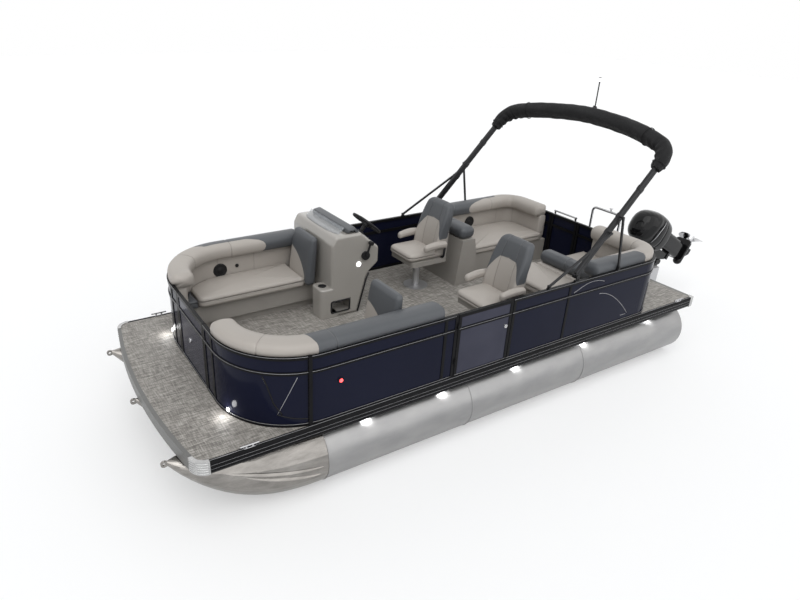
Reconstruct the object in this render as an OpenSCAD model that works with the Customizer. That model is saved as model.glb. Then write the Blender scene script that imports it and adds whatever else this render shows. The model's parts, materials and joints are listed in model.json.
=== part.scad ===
// Three-tube pontoon boat: decked hull, fenced cockpit with lounges and helm,
// furled bimini top propped aft, and an outboard motor tilted up behind the stern.
// Units are millimetres. +X is the bow, +Y is port, +Z is up.
// The origin is on the keel of the centre tube, below the aft edge of the deck.

/* [Deck] */
// Width of the boat over the rub rails
beam = 2590; // [2400:10:3100]
// Length of the deck from the stern edge to the tip of the bow
deck_len = 6390; // [6100:10:7600]
// How far the middle of the bow edge stands ahead of its corners
bow_bulge = 125; // [60:5:200]
// Height of the deck's top above the keels
deck_top = 800; // [760:5:900]
// Thickness of the deck board with its vinyl
deck_board = 30; // [20:1:45]
// Height of the band round the deck's edge
band_h = 118; // [100:1:140]
// Thickness of the rub rails and of the band
band_t = 36; // [24:1:50]
// Height of the lip on a rub rail above the deck, below the swing of the port gate
rub_lip = 4; // [2:0.5:5]
// Radius of the cast corners at the bow
corner_r = 130; // [90:5:180]

/* [Tubes] */
// Outer diameter of a tube
tube_d = 635; // [560:5:660]
// Distance from the centre line to the middle of an outer tube
tube_y = 970; // [900:5:1010]
// Where the plain tube ends and the nose cone starts
nose_x = 5110; // [4900:10:5300]
// Length of a nose cone from its seam to the towing eye
nose_len = 1300; // [1100:10:1400]
// Height of the towing eye above the keel
eye_z = 655; // [600:5:700]
// Bore of a towing eye
eye_bore = 26; // [16:1:34]
// Width of the keel strip under a tube
keel_w = 44; // [30:1:80]
// Height of the keel strip below the tube
keel_h = 6; // [4:1:12]

/* [Fence] */
// Height of the fence above the deck
fence_h = 670; // [560:5:760]
// Width of the square rails and posts
rail = 32; // [25:1:40]
// How far the fence stands in from the edge of the deck
fence_inset = 20; // [10:1:60]
// Front face of the fence, from the stern edge
fence_x1 = 5850; // [5700:10:5900]
// Back face of the fence, from the stern edge
fence_x0 = 735; // [700:5:800]
// Outer radius of the fence's corners at the bow
bow_r = 700; // [500:10:760]
// Outer radius of the fence's corners at the stern
stern_r = 350; // [250:10:400]
// Height of the middle rail's underside above the deck
mid_rail_h = 500; // [420:5:540]
// Thickness of the panels
panel_t = 10; // [6:1:14]
// How far the panels stand back from the face of the rails
panel_inset = 6; // [3:1:10]

/* [Gates] */
// Half of the opening in the bow fence
bow_gate_half = 365; // [300:5:400]
// Forward edge of the opening in the port fence
port_gate_x1 = 3790; // [3700:10:3900]
// Width of the opening in the port fence
port_gate_w = 680; // [600:10:760]
// Starboard edge of the opening in the stern fence
stern_gate_y0 = -460; // [-500:5:-420]
// Width of the opening in the stern fence
stern_gate_w = 440; // [400:5:480]
// Running gap between a gate and its posts
gate_gap = 8; // [6:1:12]

/* [Lounges] */
// Height of a lounge base above the deck
base_h = 295; // [250:5:340]
// Thickness of a seat cushion
cushion_t = 125; // [90:5:150]
// Distance from the centre line to a bow lounge base
lounge_y = 700; // [660:5:760]
// How far a cushion stands out over its base
cushion_over = 70; // [30:5:90]
// Width of the padding along the fence
pad_w = 118; // [90:2:130]
// Width of the roll on top of the padding
roll_w = 200; // [160:5:230]
// Height of the roll above the fence
roll_h = 100; // [60:5:120]

/* [Helm] */
// Diameter of the steering wheel
wheel_d = 370; // [320:5:400]
// Angle of the wheel's shaft above the horizontal
wheel_tilt = 50; // [35:1:60]
// Width of a swivel seat
seat_w = 560; // [500:10:600]
// Height of a swivel seat's underside above the deck
seat_h = 330; // [280:5:380]

/* [Bimini] */
// Where the top's arms pivot on the fence
mount_x = 2230; // [2150:5:2300]
// Angle of the propped arms above the horizontal
arm_angle = 46; // [44:0.5:54]
// Length of an arm from its pivot to the boot
arm_len = 1380; // [1300:10:1600]
// Size of the square tube of the arms
arm_tube = 32; // [25:1:38]

/* [Motor] */
// How far the motor pod reaches behind the deck
pod_len = 850; // [800:10:900]
// Height of the tilt tube above the keels
tilt_z = 680; // [660:5:720]
// Angle that the motor is tilted up by at rest
tilt_rest = 60; // [50:1:68]
// Diameter of the propeller
prop_d = 380; // [330:5:400]

/* [Hidden] */

$fn = 48;
gap = 0.3;                                   // between soft or curved pieces that touch
half_beam = beam / 2;
bow_arc_r = (half_beam * half_beam + bow_bulge * bow_bulge) / (2 * bow_bulge);
bow_arc_x = deck_len - bow_arc_r;            // centre of the bow edge's arc
corner_y = half_beam - corner_r;             // centre of a bow corner
corner_x = bow_arc_x + sqrt(bow_arc_r * bow_arc_r - corner_y * corner_y) - corner_r;
tube_r = tube_d / 2;
tube_z = tube_r + keel_h;
tube_x0 = 60;                                // aft end of the outer tubes
cap = corner_r / 2;                          // length of a stern corner's cap each way
beam_z = deck_top - deck_board;              // top of the crossbeams
beam_h = 76;
beam_w = 44;
beam_pitch = 400;
beam_x0 = 130;
beam_x1 = 6140;
beam_n = floor((beam_x1 - beam_x0) / beam_pitch) + 1;
fence_y = half_beam - fence_inset;
fence_z = deck_top + fence_h;
mid_z = deck_top + mid_rail_h;
bow_cx = fence_x1 - bow_r;
bow_cy = fence_y - bow_r;
stern_cx = fence_x0 + stern_r;
stern_cy = fence_y - stern_r;
port_gate_x0 = port_gate_x1 - port_gate_w;
stern_gate_y1 = stern_gate_y0 + stern_gate_w;
seam_bow_x = 5270;
seam_aft_x = 2310;
base_z = deck_top + base_h;
cushion_z = base_z + gap;
seat_top = cushion_z + cushion_t;
pad_in = rail + gap;                         // inner face of the rails, from the fence's outer face
cushion_y = lounge_y - cushion_over;
lounge_x0 = 4215;
lounge_x1 = 5560;
back_t = 165;
arm_y = fence_y - 58;
strut_y = fence_y - rail / 2;
front_foot_x = mount_x + 410;
front_tip_q = 560;                           // along the arm from its pivot
rear_tip_q = 760;
strut_w = 18;
rear_foot_x = mount_x - 630;
pivot_z = fence_z + 44;
tilt_x = -pod_len - 70;
swivel_x = -150;                             // steering axis, from the tilt tube

black = [0.03, 0.03, 0.035];
navy = [0.05, 0.06, 0.12];
alloy = [0.72, 0.73, 0.74];
slate = [0.33, 0.35, 0.37];
beige = [0.72, 0.69, 0.66];
gel = [0.62, 0.61, 0.59];
vinyl = [0.55, 0.53, 0.50];

// ---------------------------------------------------------------- shared shapes

module pair() {
    children();
    mirror([0, 1, 0]) children();
}

// A box with its vertical edges rounded, from one low corner
module slab(size, r) {
    translate([0, 0, 0]) linear_extrude(size[2]) rounded(size[0], size[1], r);
}

module rounded(l, w, r) {
    translate([r, 0]) square([l - 2 * r, w]);
    translate([0, r]) square([l, w - 2 * r]);
    for (x = [r, l - r], y = [r, w - r]) translate([x, y]) circle(r);
}

// A side outline drawn in X and Z, made into a solid from y0 to y1
module side_solid(y0, y1) {
    translate([0, y1, 0]) rotate([90, 0, 0]) linear_extrude(y1 - y0) children();
}

// The plan of the deck, drawn in from its edge by d
module deck_plan(d) {
    translate([d, -half_beam + d]) square([corner_x - d, beam - 2 * d]);
    for (s = [-1, 1]) translate([corner_x, s * corner_y]) circle(corner_r - d);
    intersection() {
        translate([bow_arc_x, 0]) circle(bow_arc_r - d, $fn = 240);
        translate([corner_x - 100, -corner_y]) square([2 * corner_r + bow_bulge + 100, 2 * corner_y]);
    }
}

// The plan inside the fence, drawn in from its outer face by d
module cockpit_plan(d) {
    translate([stern_cx, -fence_y + d]) square([bow_cx - stern_cx, 2 * (fence_y - d)]);
    translate([fence_x0 + d, -stern_cy]) square([stern_r, 2 * stern_cy]);
    translate([bow_cx - 50, -bow_cy]) square([bow_r + 50 - d, 2 * bow_cy]);
    for (s = [-1, 1]) {
        translate([bow_cx, s * bow_cy]) circle(bow_r - d, $fn = 96);
        translate([stern_cx, s * stern_cy]) circle(stern_r - d, $fn = 64);
    }
}

// Carries a profile (0 at the fence's outer face, negative inwards; height) round the
// port half of the fence: a stretch across the bow, the corner, and the side
module bow_run(y0) {
    translate([fence_x1, bow_cy, 0]) rotate([90, 0, 0]) linear_extrude(bow_cy - y0) children();
}

module bow_turn(sweep = 90) {
    translate([bow_cx, bow_cy, 0]) rotate([0, 0, 90 - sweep])
        rotate_extrude(angle = sweep, $fn = 96) translate([bow_r, 0]) children();
}

module side_run(x0, x1) {
    translate([x0, fence_y, 0]) rotate([90, 0, 90]) linear_extrude(x1 - x0) children();
}

module stern_turn() {
    translate([stern_cx, stern_cy, 0]) rotate([0, 0, 90])
        rotate_extrude(angle = 90, $fn = 64) translate([stern_r, 0]) children();
}

module stern_run(y0) {
    translate([fence_x0, y0, 0]) rotate([90, 0, 180]) linear_extrude(stern_cy - y0) children();
}

module fence_run(bow_y, stern_y) {
    bow_run(bow_y) children();
    bow_turn() children();
    side_run(stern_cx, bow_cx) children();
    stern_turn() children();
    stern_run(stern_y) children();
}

module rail_profiles() {
    for (z = [deck_top, mid_z, fence_z - rail]) translate([-rail, z]) square(rail);
}

module panel_profiles() {
    translate([-panel_inset - panel_t, deck_top + rail]) square([panel_t, mid_rail_h - rail]);
    translate([-panel_inset - panel_t, mid_z + rail]) square([panel_t, fence_z - mid_z - 2 * rail]);
}

module post(x, y) {
    translate([x, y, deck_top]) cube([rail, rail, fence_h]);
}

// Posts of one side, all on the port half; grow widens them by the same on each face
module side_posts(bow_y, stern_y, gate) {
    post(fence_x1 - rail, bow_y);
    post(fence_x1 - rail, bow_cy - rail);
    post(fence_x0, stern_y);
    for (x = [seam_bow_x, seam_aft_x]) post(x, fence_y - rail);
    if (gate) {
        post(port_gate_x1, fence_y - rail);
        post(port_gate_x1 + 120, fence_y - rail);
        post(port_gate_x0 - rail, fence_y - rail);
    } else {
        post((seam_bow_x + seam_aft_x) / 2, fence_y - rail);
    }
}

module port_gate_opening() {
    translate([port_gate_x0, fence_y - 2 * rail, deck_top - 1])
        cube([port_gate_w, 3 * rail, fence_h + 2]);
}

// Hinge barrels on a vertical axis at the origin, each with a leaf that spans lo to hi.
// step is 0 on the gate, and 1 on the post, whose barrels sit on top of the gate's
barrel_r = 8;
barrel_h = 30;

module hinge(step, lo, hi) {
    for (z = [deck_top + 150, deck_top + 520]) translate([0, 0, z + step * (barrel_h + 0.5)]) {
        cylinder(r = barrel_r, h = barrel_h);
        translate([lo[0], lo[1], 0]) cube([hi[0] - lo[0], hi[1] - lo[1], barrel_h]);
    }
}

// ---------------------------------------------------------------- hull

module tube(y, x0) {
    color(alloy) difference() {
        translate([x0, y, 0]) union() {
            translate([0, 0, tube_z]) rotate([0, 90, 0]) cylinder(r = tube_r, h = nose_x - x0, $fn = 96);
            translate([0, -keel_w / 2, 0]) cube([nose_x - x0, keel_w, keel_h + 12]);
        }
        translate([x0 - 1, y, tube_z]) rotate([0, 90, 0]) cylinder(r = tube_r - 60, h = 41, $fn = 96);
    }
}

module port_tube() { tube(tube_y, tube_x0); }
module starboard_tube() { tube(-tube_y, tube_x0); }
module centre_tube() { tube(0, -40); }

// One ring of a nose cone at t, from 0 at the seam to 1 at the eye
function cone_low(t) = keel_h + (eye_z - keel_h - 20) * pow(t, 2.7);
function cone_high(t) = keel_h + tube_d + (eye_z + 20 - keel_h - tube_d) * t;
function cone_half(t) = 14 + (tube_r - 14) * pow(1 - pow(t, 2.2), 0.72);
cone_rings = 16;
cone_sides = 36;
cone_points = [for (i = [0 : cone_rings], j = [0 : cone_sides - 1])
    let (t = i / cone_rings, a = 360 * j / cone_sides, h = (cone_high(t) - cone_low(t)) / 2)
    [nose_x + nose_len * t, cone_half(t) * cos(a), cone_low(t) + h + h * sin(a)]];
cone_faces = concat(
    [[for (j = [0 : cone_sides - 1]) j]],
    [[for (j = [cone_sides - 1 : -1 : 0]) cone_rings * cone_sides + j]],
    [for (i = [0 : cone_rings - 1], j = [0 : cone_sides - 1])
        let (k = (j + 1) % cone_sides, a = i * cone_sides)
        [a + j, a + cone_sides + j, a + cone_sides + k]],
    [for (i = [0 : cone_rings - 1], j = [0 : cone_sides - 1])
        let (k = (j + 1) % cone_sides, a = i * cone_sides)
        [a + j, a + cone_sides + k, a + k]]);

module nose_cones() {
    color(alloy) for (y = [-tube_y, 0, tube_y]) translate([0, y, 0]) {
        polyhedron(cone_points, cone_faces);
        translate([nose_x + nose_len, 0, eye_z]) rotate([90, 0, 0]) difference() {
            union() {
                translate([20, 0, -10]) cylinder(r = 28, h = 20);
                translate([-2, -24, -10]) cube([22, 48, 20]);
            }
            translate([20, 0, -11]) cylinder(d = eye_bore, h = 22);
        }
    }
}

// Two angle brackets stand along each tube and carry the crossbeams
module tube_risers() {
    riser_y = 150;
    foot_z = tube_z + sqrt(tube_r * tube_r - riser_y * riser_y) - 12;
    color(alloy) for (y = [-tube_y, 0, tube_y]) difference() {
        for (s = [-1, 1]) translate([120, y + s * riser_y - 4, 0]) {
            translate([0, 0, foot_z]) cube([nose_x - 200, 8, beam_z - beam_h - foot_z]);
            translate([0, -16, beam_z - beam_h - 6]) cube([nose_x - 200, 40, 6]);
        }
        translate([0, y, tube_z]) rotate([0, 90, 0]) cylinder(r = tube_r + gap, h = nose_x, $fn = 96);
    }
}

module crossbeams() {
    color(alloy) for (i = [0 : beam_n - 1])
        translate([beam_x0 + i * beam_pitch, 0, beam_z - beam_h])
            side_solid(-half_beam + band_t + 4, half_beam - band_t - 4) difference() {
                square([beam_w, beam_h]);
                translate([5, 5]) square([beam_w, beam_h - 10]);
            }
}

module deck_floor() {
    color(vinyl) translate([0, 0, beam_z]) linear_extrude(deck_board) deck_plan(band_t);
}

// A rub rail runs down each side, with two grooves for its bright lines
module rub_rails() {
    color(black) pair() translate([0, half_beam - band_t, 0]) rotate([90, 0, 90])
        translate([0, 0, cap]) linear_extrude(corner_x - cap) difference() {
            translate([0, deck_top - band_h]) union() {
                square([band_t - 10, band_h]);
                translate([band_t - half_beam + fence_y + 1, 0]) square([8, band_h + rub_lip]);
                translate([0, 24]) square([band_t, band_h - 48]);
                translate([band_t - 24, band_h - 24]) circle(24);
                translate([band_t - 24, 24]) circle(24);
            }
            translate([-60, deck_top - band_h - 60]) square([60, band_h + 120]);
            for (z = [40, 76]) translate([band_t - 2, deck_top - band_h + z]) square([3, 5]);
        }
}

// The band across the bow between its corners, and the one across the stern
module deck_trim() {
    color([0.45, 0.45, 0.44]) {
        translate([0, 0, deck_top - band_h]) linear_extrude(band_h) intersection() {
            difference() {
                deck_plan(0);
                deck_plan(band_t);
            }
            translate([corner_x, -corner_y]) square([corner_r + bow_bulge + 10, 2 * corner_y]);
        }
        translate([0, -half_beam + cap, deck_top - band_h]) cube([band_t, beam - 2 * cap, band_h]);
    }
}

module corner_castings() {
    color([0.8, 0.8, 0.8]) pair() {
        translate([0, 0, deck_top - band_h]) linear_extrude(band_h + 6) intersection() {
            difference() {
                deck_plan(0);
                deck_plan(band_t);
            }
            translate([corner_x, corner_y]) square([corner_r + 5, corner_r + 5]);
        }
        translate([0, half_beam - cap, deck_top - band_h]) linear_extrude(band_h + 6) difference() {
            union() {
                square([cap, cap - 20]);
                translate([20, 0]) square([cap - 20, cap]);
                translate([20, cap - 20]) circle(20);
            }
            translate([band_t, -1]) square([cap, cap - band_t + 1]);
        }
    }
}

module cleats() {
    color([0.8, 0.8, 0.8]) pair() for (x = [300, 5830])
        translate([x, fence_y + 5, deck_top + rub_lip]) {
            for (s = [-1, 1]) translate([s * 28, 0, 0]) cylinder(r = 9, h = 22);
            translate([-80, 0, 24]) rotate([0, 90, 0]) cylinder(r = 8, h = 160);
        }
}

// ---------------------------------------------------------------- fence and gates

module port_fence_frame() {
    color(black) {
        difference() {
            fence_run(bow_gate_half, stern_gate_y1) rail_profiles();
            port_gate_opening();
        }
        side_posts(bow_gate_half, stern_gate_y1, true);
        at_port_hinge() hinge(1, [0, -10], [8, 0]);
    }
}

// The panels of one side between two seam posts, drawn on the port half
module fence_panels(x0, x1, stern_y, gate) {
    color(navy) intersection() {
        difference() {
            fence_run(bow_gate_half, stern_y) panel_profiles();
            if (gate) port_gate_opening();
            side_posts(bow_gate_half, stern_y, gate);
        }
        translate([x0, -half_beam, deck_top]) cube([x1 - x0, beam, fence_h]);
    }
}

module bow_panels(stern_y, gate) { fence_panels(seam_bow_x + rail, fence_x1, stern_y, gate); }
module side_panels(stern_y, gate) { fence_panels(seam_aft_x + rail, seam_bow_x, stern_y, gate); }
module quarter_panels(stern_y, gate) { fence_panels(fence_x0, seam_aft_x, stern_y, gate); }

module port_bow_panels() { bow_panels(stern_gate_y1, true); }
module port_side_panels() { side_panels(stern_gate_y1, true); }
module port_quarter_panels() { quarter_panels(stern_gate_y1, true); }
module starboard_bow_panels() { mirror([0, 1, 0]) bow_panels(-stern_gate_y0, false); }
module starboard_side_panels() { mirror([0, 1, 0]) side_panels(-stern_gate_y0, false); }
module starboard_quarter_panels() { mirror([0, 1, 0]) quarter_panels(-stern_gate_y0, false); }

module starboard_fence_frame() {
    color(black) {
        mirror([0, 1, 0]) {
            fence_run(bow_gate_half, -stern_gate_y0) rail_profiles();
            side_posts(bow_gate_half, -stern_gate_y0, false);
        }
        at_bow_hinge() hinge(1, [0, -8], [10, 0]);
        at_stern_hinge() hinge(1, [0, -8], [10, 0]);
    }
}

// A gate seen square on: l wide from the origin along X, its outer face on y = 0
module gate_frame(l) {
    translate([0, -rail, deck_top + 10]) difference() {
        cube([l, rail, fence_h - 10]);
        translate([rail, -1, rail - 10]) cube([l - 2 * rail, rail + 2, mid_rail_h - rail]);
        translate([rail, -1, mid_rail_h + rail - 10])
            cube([l - 2 * rail, rail + 2, fence_h - mid_rail_h - 2 * rail]);
    }
}

module gate_panel(l) {
    translate([rail, -panel_inset - panel_t, deck_top + rail])
        cube([l - 2 * rail, panel_t, mid_rail_h - rail]);
    translate([rail, -panel_inset - panel_t, mid_z + rail])
        cube([l - 2 * rail, panel_t, fence_z - mid_z - 2 * rail]);
}

module at_bow_gate() {
    translate([fence_x1, bow_gate_half - gate_gap, 0]) rotate([0, 0, -90]) children();
}

module at_port_gate() {
    translate([port_gate_x0 + gate_gap, fence_y, 0]) children();
}

module at_stern_gate() {
    translate([fence_x0, stern_gate_y0 + gate_gap, 0]) rotate([0, 0, 90]) children();
}

// The gates' hinge axes, each a barrel's radius and a little off the rails
module at_bow_hinge() { translate([fence_x1 - rail - 9, -bow_gate_half - 1, 0]) children(); }
module at_port_hinge() { translate([port_gate_x1 + 1, fence_y + 9, 0]) children(); }
module at_stern_hinge() { translate([fence_x0 - 9, stern_gate_y0 - 1, 0]) children(); }

module bow_gate_frame() {
    color(black) {
        at_bow_gate() gate_frame(2 * (bow_gate_half - gate_gap));
        at_bow_hinge() hinge(0, [0, 2], [10, gate_gap + 7]);
    }
}

module bow_gate_panel() {
    color(navy) at_bow_gate() gate_panel(2 * (bow_gate_half - gate_gap));
}

module port_gate_frame() {
    color(black) {
        at_port_gate() gate_frame(port_gate_w - 2 * gate_gap);
        at_port_hinge() hinge(0, [-gate_gap - 7, -10], [-2, 0]);
    }
}

module port_gate_panel() {
    color(navy) at_port_gate() gate_panel(port_gate_w - 2 * gate_gap);
}

module stern_gate_frame() {
    l = stern_gate_w - 2 * gate_gap;
    color(black) {
        at_stern_gate() gate_frame(l);
        at_stern_hinge() hinge(0, [0, 2], [10, gate_gap + 7]);
    }
    color([0.85, 0.85, 0.86]) at_stern_gate() translate([0, -rail / 2, fence_z]) {
        for (x = [40, l - 40]) translate([x, 0, 0]) cylinder(r = 8, h = 46);
        translate([30, 0, 46]) rotate([0, 90, 0]) cylinder(r = 10, h = l - 60);
    }
}

module stern_gate_panel() {
    color(navy) at_stern_gate() gate_panel(stern_gate_w - 2 * gate_gap);
}

// ---------------------------------------------------------------- bow lounges

// The plan of the port bow lounge, drawn in from the fence by d and inboard to y
module bow_lounge_plan(d, x0, x1, y) {
    intersection() {
        cockpit_plan(d);
        translate([x0, y]) square([x1 - x0, fence_y]);
    }
}

module bow_lounge_bases() {
    color(beige) pair() {
        translate([0, 0, deck_top + 90]) linear_extrude(base_h - 90)
            bow_lounge_plan(pad_in, lounge_x0, fence_x1, lounge_y);
        translate([0, 0, deck_top]) linear_extrude(90)
            bow_lounge_plan(pad_in, lounge_x0, fence_x1, lounge_y + 50);
    }
}

module bow_lounge_cushions() {
    color(beige) pair() translate([0, 0, cushion_z]) {
        linear_extrude(cushion_t)
            bow_lounge_plan(pad_in + pad_w + gap, lounge_x0 + back_t, lounge_x1, cushion_y);
        linear_extrude(cushion_t - 20)
            bow_lounge_plan(pad_in + pad_w + gap, lounge_x1 + 6, fence_x1, cushion_y + 30);
    }
}

// A leaning backrest in X and Z, its foot at x and its top at height h over the cushions
module back_outline(x, h) {
    polygon([[x, 0], [x + back_t - 4, 0], [x + back_t - 40, h * 0.35], [x + back_t - 62, h - 40],
             [x + back_t - 82, h], [x + 24, h], [x, h - 50]]);
}

module bow_lounge_backs() {
    color(slate) pair() translate([0, 0, cushion_z])
        side_solid(cushion_y - 60, fence_y - pad_in - roll_w - gap) back_outline(lounge_x0, 625);
}

module bolster_profile(over) {
    out = over ? -8 : -pad_in;
    translate([-pad_in - pad_w, cushion_z]) square([pad_w, fence_z - cushion_z - 60]);
    translate([-pad_in - roll_w, fence_z + gap - 62]) square([roll_w, 62]);
    translate([-pad_in - roll_w, fence_z + gap]) square([roll_w + out + pad_in, roll_h - 38]);
    translate([-pad_in - roll_w + 38, fence_z + gap]) square([roll_w + out + pad_in - 76, roll_h]);
    for (u = [-pad_in - roll_w + 38, out - 38])
        translate([u, fence_z + gap + roll_h - 38]) circle(38);
}

module bow_bolster(x0) {
    side_run(x0, bow_cx) bolster_profile(true);
    bow_turn() bolster_profile(true);
    bow_run(bow_gate_half + 115) bolster_profile(true);
}

module bow_bolsters() {
    color(slate) {
        bow_bolster(port_gate_x1 + 130);
        mirror([0, 1, 0]) bow_bolster(lounge_x0 - 10);
    }
}

// ---------------------------------------------------------------- aft lounges

port_unit_y = 240;                           // inboard face of the stern lounge
port_unit_x1 = 2180;
stbd_unit_y = -510;                          // inboard face of the starboard lounge
stbd_unit_x1 = 2120;
end_panel_x = 2440;
bench_back_x = 1500;
bench_back_t = 220;

module unit_plan(d, x0, x1, y0, y1) {
    intersection() {
        cockpit_plan(d);
        translate([x0, y0]) square([x1 - x0, y1 - y0]);
    }
}

module aft_lounge_bases() {
    color(beige) {
        translate([0, 0, deck_top]) {
            linear_extrude(base_h) unit_plan(pad_in, fence_x0, port_unit_x1, port_unit_y, fence_y);
            linear_extrude(base_h) unit_plan(pad_in, fence_x0, stbd_unit_x1, -fence_y, stbd_unit_y);
        }
        // The upright end of the starboard lounge
        translate([stbd_unit_x1, -fence_y + pad_in, deck_top]) difference() {
            side_solid(0, fence_y - pad_in - 360) polygon([[0, 0], [end_panel_x - stbd_unit_x1, 0],
                [end_panel_x - stbd_unit_x1 - 70, fence_h - 90], [60, fence_h - 90], [0, base_h]]);
        }
    }
}

module aft_lounge_cushions() {
    d = pad_in + pad_w + gap;
    color(beige) translate([0, 0, cushion_z]) {
        linear_extrude(cushion_t)
            unit_plan(d, bench_back_x + bench_back_t, port_unit_x1 + 50, port_unit_y - 40, fence_y);
        linear_extrude(cushion_t) unit_plan(d, fence_x0, bench_back_x - 6, port_unit_y, fence_y);
        linear_extrude(cushion_t) unit_plan(d, fence_x0, stbd_unit_x1 - 40, -fence_y, stbd_unit_y + 30);
    }
}

module aft_lounge_backs() {
    inner = fence_y - pad_in - pad_w - gap;
    color(slate) {
        translate([bench_back_x, port_unit_y, cushion_z])
            slab([bench_back_t - gap, inner - port_unit_y, 120], 30);
        translate([bench_back_x + 20, port_unit_y, cushion_z + 120])
            slab([bench_back_t - 40, fence_y - pad_in - roll_w - gap - port_unit_y, 150], 30);
        // The roll over the starboard lounge's upright end
        translate([stbd_unit_x1 + 44, -fence_y + pad_in + roll_w + gap, deck_top + fence_h - 90 + gap])
            slab([end_panel_x - stbd_unit_x1 - 100, fence_y - pad_in - roll_w - 372, 150], 40);
    }
}

module aft_bolsters() {
    color(slate) {
        side_run(stern_cx, mount_x - 300) bolster_profile(false);
        stern_turn() bolster_profile(false);
        stern_run(stern_gate_y1 + 330) bolster_profile(false);
        mirror([0, 1, 0]) {
            side_run(stern_cx, stbd_unit_x1 - gap) bolster_profile(false);
            stern_turn() bolster_profile(false);
            stern_run(-stern_gate_y0 + 70) bolster_profile(false);
        }
    }
}

// ---------------------------------------------------------------- helm

console_y1 = -330;
console_x1 = 4200;
dash_lo = [3610, 1540];
dash_hi = [3845, 1735];
wheel_off = 140;
wheel_c = [(dash_lo[0] + dash_hi[0]) / 2 - wheel_off * cos(wheel_tilt),
           (dash_lo[1] + dash_hi[1]) / 2 + wheel_off * sin(wheel_tilt)];
wheel_y = -560;

module helm_console() {
    color(gel) difference() {
        union() {
            side_solid(-fence_y + rail, console_y1) polygon([[3870, deck_top], [3750, 1250], [3610, 1360],
                dash_lo, dash_hi, [4000, 1735], [4150, 1735], [console_x1, 1640], [console_x1, deck_top]]);
            side_solid(-cushion_y + 65, console_y1) polygon([[console_x1 - 5, deck_top], [4330, deck_top],
                [4310, 1120], [4280, 1150], [console_x1 - 5, 1150]]);
        }
        // Cup holder in the step
        translate([4255, -450, 1070]) cylinder(r = 40, h = 90);
        // Cubby in the inboard face
        translate([3960, console_y1 - 160, 850]) cube([250, 161, 150]);
        // Knee room under the dash
        translate([3500, -1150, deck_top + 80]) cube([560, 660, 480]);
    }
}

// The hood over the instruments and a low screen round the front of the console's top
module helm_dash() {
    color(black) {
        translate([0, 0, gap]) side_solid(-1180, console_y1 - 30) polygon([[3845, 1735], [3990, 1735],
            [3990, 1790], [3900, 1800]]);
        // Boss that the wheel's shaft turns in
        at_wheel() translate([0, 0, 1 - wheel_off]) cylinder(r = 38, h = 33 - gap);
        translate([0, 0, gap]) side_solid(-1160, console_y1 - 60) polygon([[4050, 1735], [4140, 1735],
            [4060, 1830], [4050, 1830]]);
    }
}

module throttle() {
    color(black) {
        translate([3790, console_y1 + gap, 1470]) rotate([-90, 0, 0]) cylinder(r = 48, h = 26);
        translate([3778, console_y1 + 26, 1470]) rotate([0, -18, 0]) {
            slab([24, 18, 150], 8);
            translate([12, -6, 150]) rotate([-90, 0, 0]) cylinder(r = 22, h = 46);
        }
    }
}

module at_wheel() {
    translate([wheel_c[0], wheel_y, wheel_c[1]]) rotate([0, wheel_tilt - 90, 0]) children();
}

// The wheel's shaft points aft and up; the rim, three spokes and the hub are one piece
module steering_wheel() {
    color(black) at_wheel() {
        rotate_extrude($fn = 64) translate([wheel_d / 2 - 14, 0]) circle(14, $fn = 24);
        difference() {
            for (a = [90, 210, 330]) rotate([0, 0, a]) translate([0, -14, -10])
                cube([wheel_d / 2 - 14, 28, 14]);
            cylinder(r = 40, h = 60, center = true);
        }
        translate([0, 0, -34]) cylinder(r = 46, h = 44);
        translate([0, 0, 34 - wheel_off]) cylinder(r = 22, h = wheel_off - 66);
    }
}

// ---------------------------------------------------------------- swivel seats

helm_seat_at = [2850, -620];
companion_seat_at = [2960, 780];

module seat_pedestals() {
    color([0.7, 0.7, 0.7]) for (p = [helm_seat_at, companion_seat_at]) translate([p[0], p[1], deck_top]) {
        cylinder(r = 150, h = 12);
        cylinder(r = 42, h = seat_h - 0.5);
    }
}

// A swivel seat facing +X about its post at the origin
module seat_frame() {
    color(beige) translate([0, 0, deck_top + seat_h]) {
        cylinder(r = 110, h = 22);
        translate([-seat_w / 2 + 10, -seat_w / 2 + 40, 22]) slab([seat_w - 60, seat_w - 80, 60], 40);
        // The shell behind the backrest
        side_solid(-seat_w / 2 + 70, seat_w / 2 - 70)
            polygon([[-seat_w / 2 + 10, 22], [-seat_w / 2 + 50, 22], [-seat_w / 2 + 12, 560],
                [-seat_w / 2 - 14, 560]]);
    }
}

module seat_cushions() {
    z = deck_top + seat_h + 82 + gap;
    color(beige) {
        translate([-seat_w / 2 + 130, -seat_w / 2 + 50, z]) slab([seat_w - 130, seat_w - 100, 110], 45);
        translate([0, 0, z]) side_solid(-seat_w / 2 + 50, seat_w / 2 - 50)
            polygon([[-seat_w / 2 + 47, 0], [-seat_w / 2 + 129, 0], [-seat_w / 2 + 124, 200],
                     [-seat_w / 2 + 92, 560], [-seat_w / 2 + 40, 640], [-seat_w / 2 - 40, 640],
                     [-seat_w / 2 - 70, 600], [-seat_w / 2 - 44, 484], [-seat_w / 2 + 13, 484]]);
    }
    color(beige) for (s = [-1, 1])
        translate([-seat_w / 2 + 60, s * (seat_w / 2 - 50 + gap + 34) - 34, z + 130]) slab([330, 68, 90], 24);
}

module at_helm_seat() { translate([helm_seat_at[0], helm_seat_at[1], 0]) children(); }
module at_companion_seat() { translate([companion_seat_at[0], companion_seat_at[1], 0]) children(); }
module helm_seat_frame() { at_helm_seat() seat_frame(); }
module helm_seat_cushions() { at_helm_seat() seat_cushions(); }
module companion_seat_frame() { at_companion_seat() seat_frame(); }
module companion_seat_cushions() { at_companion_seat() seat_cushions(); }

// ---------------------------------------------------------------- bimini top

// The plane of the propped arms: X is athwart to port, Y is up along the arms
module arm_plane() {
    translate([mount_x, 0, pivot_z]) rotate([0, arm_angle, 0]) rotate([0, 0, 90]) children();
}

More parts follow.
